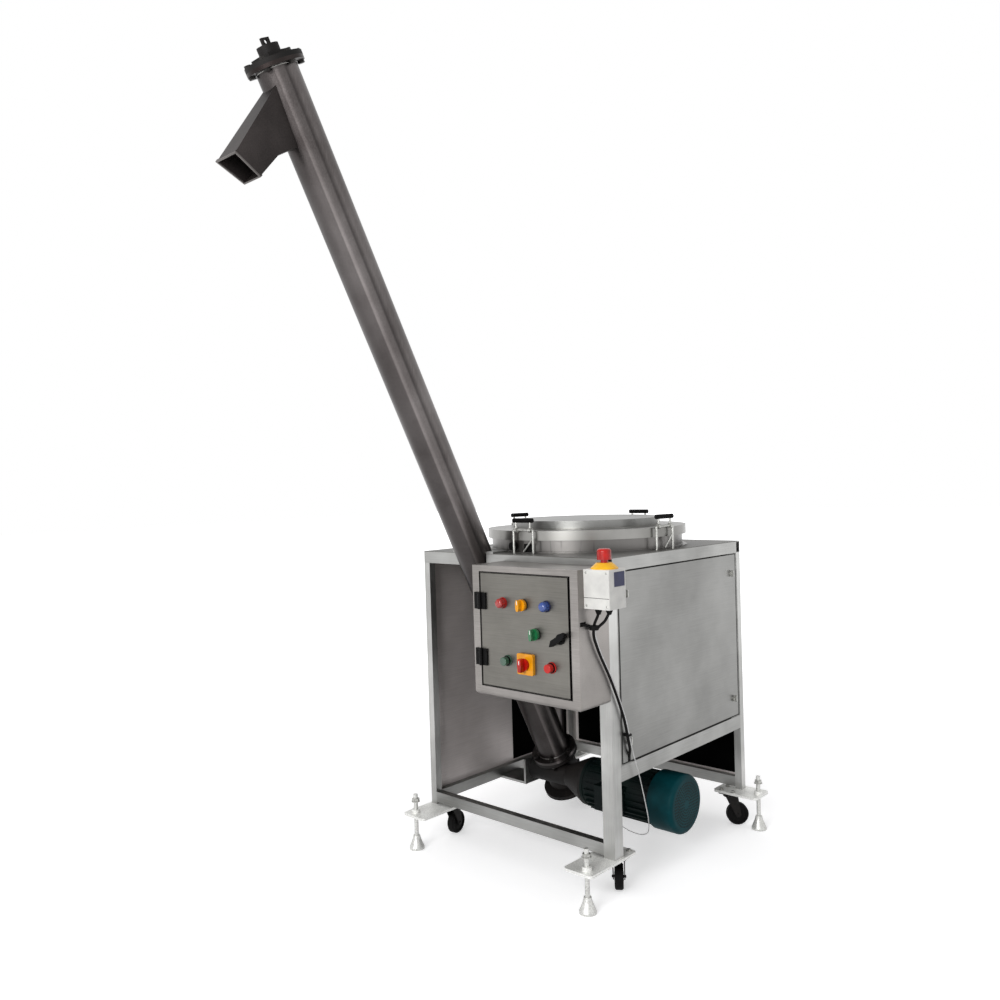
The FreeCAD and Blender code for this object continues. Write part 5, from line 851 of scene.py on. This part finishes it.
class CONVEYOR_OT_painted_shade(bpy.types.Operator):
    """Add black sheets of painted shade inside the cabinet, and thin dark strips of painted shade round its
    side panel and door
    """
    bl_idname = "conveyor.linings"
    bl_label = "Painted Shade"

    def execute(self, context):
        sizes = context.scene.conveyor_sizes
        thick = sizes.mat / MM
        # Black sheets on the cabinet's left, rear and right walls: painted shade
        for name, low, high in (
                ("painted_shade_sheet_left", (-SHADE_SHEET_X, 30, SHADE_SHEET_LOW_Z), (-SHADE_SHEET_X + thick, 352, SHADE_SHEET_TOP_Z)),
                ("painted_shade_sheet_rear", (-345, SHADE_SHEET_Y - thick, SHADE_SHEET_LOW_Z), (345, SHADE_SHEET_Y, SHADE_SHEET_TOP_Z)),
                ("painted_shade_sheet_right", (SHADE_SHEET_X - thick, -270, 390), (SHADE_SHEET_X, 280, SHADE_SHEET_TOP_Z))):
            new_piece(name, plate_mesh(name, at(*low), at(*high), 0.0004), "shade_and_seam_black", "machine")
        self.shade_panel_gap()
        self.shade_door_gap(sizes.door_gap_shade / MM)
        return {"FINISHED"}

    def shade_panel_gap(self):
        """Four thin dark strips of painted shade round the side panel."""
        low, high = (Vector(corner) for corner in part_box("side_panel_right"))
        edge = PANEL_GAP_SHADE_WIDTH
        for name, corner_a, corner_b in (
                ("panel_gap_shade_low", (low.y, low.z), (high.y, low.z + edge)),
                ("panel_gap_shade_top", (low.y, high.z - edge), (high.y, high.z)),
                ("panel_gap_shade_front", (low.y, low.z + edge), (low.y + edge, high.z - edge)),
                ("panel_gap_shade_rear", (high.y - edge, low.z + edge), (high.y, high.z - edge))):
            strip = plate_mesh(name, (high.x, *corner_a), (high.x + PANEL_GAP_SHADE_HEIGHT, *corner_b), 0.0001)
            # The black rubber finish here is painted shade along the panel's edges
            new_piece(name, strip, "rubber", "machine")

    def shade_door_gap(self, stand):
        """Four black strips of painted shade round the control box's opening, behind the door's rim."""
        left, right, low, top = DOOR_GAP_SHADE_OUTER
        inner_left, inner_right, inner_low, inner_top = DOOR_GAP_SHADE_INNER
        start, end = inner_left + DOOR_GAP_SHADE_ROOM, inner_right - DOOR_GAP_SHADE_ROOM
        for name, (x0, z0), (x1, z1) in (
                ("door_gap_shade_right", (inner_right, low), (right, top)),
                ("door_gap_shade_left", (left, low), (inner_left, top)),
                ("door_gap_shade_low", (start, low), (end, inner_low)),
                ("door_gap_shade_top", (start, inner_top), (end, top))):
            strip = plate_mesh(name, at(x0, DOOR_FACE_Y - stand, z0), at(x1, DOOR_FACE_Y, z1), 0.0002)
            new_piece(name, strip, "shade_and_seam_black", "machine")


# Name, body, place and height of the face that carries the pointer
POINTERS = (("yellow_pointer", "selector_yellow", 183, 854, 555.0),
            ("green_pointer", "selector_green", 229, 774, 555.0),
            ("switch_pointer", "main_switch", 192, 685, 563.0))
# Name, place and finish of each device's coloured skirt
SKIRTS = (("red_lamp", 105, 855, "red"), ("blue_lamp", 270, 856, "blue_plate"),
          ("start", 118, 687, "dark_green"), ("stop", 284, 685, "red"), ("yellow", 183, 854, "black"),
          ("green", 229, 774, "black"))
SKIRT_PROFILE = [(15.1, 0.2), (16.4, 0.2), (16.4, 3.4), (15.6, 4.6), (15.1, 4.6)]
SENSOR_BEARING = -98.0
SENSOR_Z = 1002
SENSOR_CAP = [(0, -2), (13, -2), (13, 11), (11.5, 14), (4, 15), (0, 15)]
SENSOR_NECK = [(0, -3), (16, -3), (16, 1.2), (0, 1.2)]
ESTOP_BOX_FOOT_Z = 855
GLAND_PROFILE = [(0, 0), (7.5, 0), (7.5, -4), (9.5, -4), (9.5, -9), (8, -11), (6.4, -16), (5.2, -18),
                 (0, -18)]


class CONVEYOR_OT_controls(bpy.types.Operator):
    """Add the pointers, skirts, level sensor, blank plate and cable glands"""
    bl_idname = "conveyor.controls"
    bl_label = "Control Details"

    def execute(self, context):
        for name, body, x, z, out in POINTERS:
            mesh = plate_mesh(name, at(x - 1.2, -out - 0.6, z + 3), at(x + 1.2, -out + 0.1, z + 14), 0.0002)
            new_piece(name, mesh, "ivory", body)
        for name, x, z, finish in SKIRTS:
            label = "skirt_" + name
            rim = turned_mesh(label, SKIRT_PROFILE, lie(at(x, DOOR_FACE_Y, z), (0, -1, 0)), hollow=True)
            new_piece(label, rim, finish, "door")
        x, y = outward(SENSOR_BEARING)
        facing = lie(at(HOPPER_R * x, HOPPER_Y + HOPPER_R * y, SENSOR_Z), (x, y, 0))
        for name, profile in (("level_sensor_cap", SENSOR_CAP), ("level_sensor_neck", SENSOR_NECK)):
            new_piece(name, turned_mesh(name, profile, facing, 28), "rubber", "machine")
        for name, low, high, bevel, finish, slot_name in (
                ("level_sensor_block", (8, -318, 985), (38, -300, 1011), 0.002, "rubber", "black_plastic"),
                ("blank_plate", (467.5, -476, 916), (468.3, -428, 956), 0.0003, "blue_plate", "blue_plastic"),
                ("estop_box_seam", (382.6, -500.3, 885), (467.2, -499.9, 886.2), 0.0001, "shade_and_seam_black",
                 "black_plastic")):
            new_piece(name, plate_mesh(name, at(*low), at(*high), bevel), finish, "machine")
        for name, x, y in (("gland_main", 410, -472), ("gland_lead", 436, -458)):
            gland = turned_mesh(name, GLAND_PROFILE, Matrix.Translation(at(x, y, ESTOP_BOX_FOOT_Z)), 24)
            new_piece(name, gland, "black", "machine")
        return {"FINISHED"}


LATCH_R = 347
GRIP_Z = 1086
GRIP_HALF = 38.4
GRIP_RIBS = 19
RIB_GAP = 4
RIB_R = 7.4
GROOVE_R = 6.7


class CONVEYOR_OT_grips(bpy.types.Operator):
    """Add the ribbed black sleeves on the latch levers"""
    bl_idname = "conveyor.grips"
    bl_label = "Latch Grips"

    def execute(self, context):
        profile = [(0, -GRIP_HALF)]
        for i in range(GRIP_RIBS):
            level = -GRIP_HALF + i * RIB_GAP
            profile += [(RIB_R, level), (RIB_R, level + 2.4), (GROOVE_R, level + 2.8),
                        (GROOVE_R, level + 3.6)]
        profile += [(RIB_R, -GRIP_HALF + GRIP_RIBS * RIB_GAP), (RIB_R, GRIP_HALF), (0, GRIP_HALF)]
        for name, bearing in LATCHES.items():
            x, y = outward(bearing)
            along_grip = lie(at(LATCH_R * x, HOPPER_Y + LATCH_R * y, GRIP_Z), (-y, x, 0))
            label = "grip_sleeve_" + name
            new_piece(label, turned_mesh(label, profile, along_grip, 20), "rubber", "latch_" + name)
        return {"FINISHED"}


class CONVEYOR_PT_panel(bpy.types.Panel):
    """Lists the conveyor's sizes, colours and operators"""
    bl_idname = "CONVEYOR_PT_panel"
    bl_label = "Screw Conveyor"
    bl_space_type = "VIEW_3D"
    bl_region_type = "UI"
    bl_category = "Screw Conveyor"

    def draw(self, context):
        layout = self.layout
        for group in (context.scene.conveyor_colours, context.scene.conveyor_sizes):
            for name in group.__annotations__:
                layout.prop(group, name)
        for operator in OPERATORS:
            layout.operator(operator.bl_idname)


OPERATORS = (CONVEYOR_OT_stage, CONVEYOR_OT_finishes, CONVEYOR_OT_fasteners, CONVEYOR_OT_welds,
             CONVEYOR_OT_cowl_grille, CONVEYOR_OT_painted_shade, CONVEYOR_OT_controls, CONVEYOR_OT_grips)
CLASSES = (ConveyorColours, ConveyorSizes) + OPERATORS + (CONVEYOR_PT_panel,)


def register():
    for item in CLASSES:
        bpy.utils.register_class(item)
    bpy.types.Scene.conveyor_colours = bpy.props.PointerProperty(type=ConveyorColours)
    bpy.types.Scene.conveyor_sizes = bpy.props.PointerProperty(type=ConveyorSizes)


def unregister():
    del bpy.types.Scene.conveyor_sizes
    del bpy.types.Scene.conveyor_colours
    for item in reversed(CLASSES):
        bpy.utils.unregister_class(item)


def main():
    """Make every piece in order."""
    register()
    for operator in OPERATORS:
        family, name = operator.bl_idname.split(".")
        getattr(getattr(bpy.ops, family), name)()


if __name__ == "__main__":
    main()
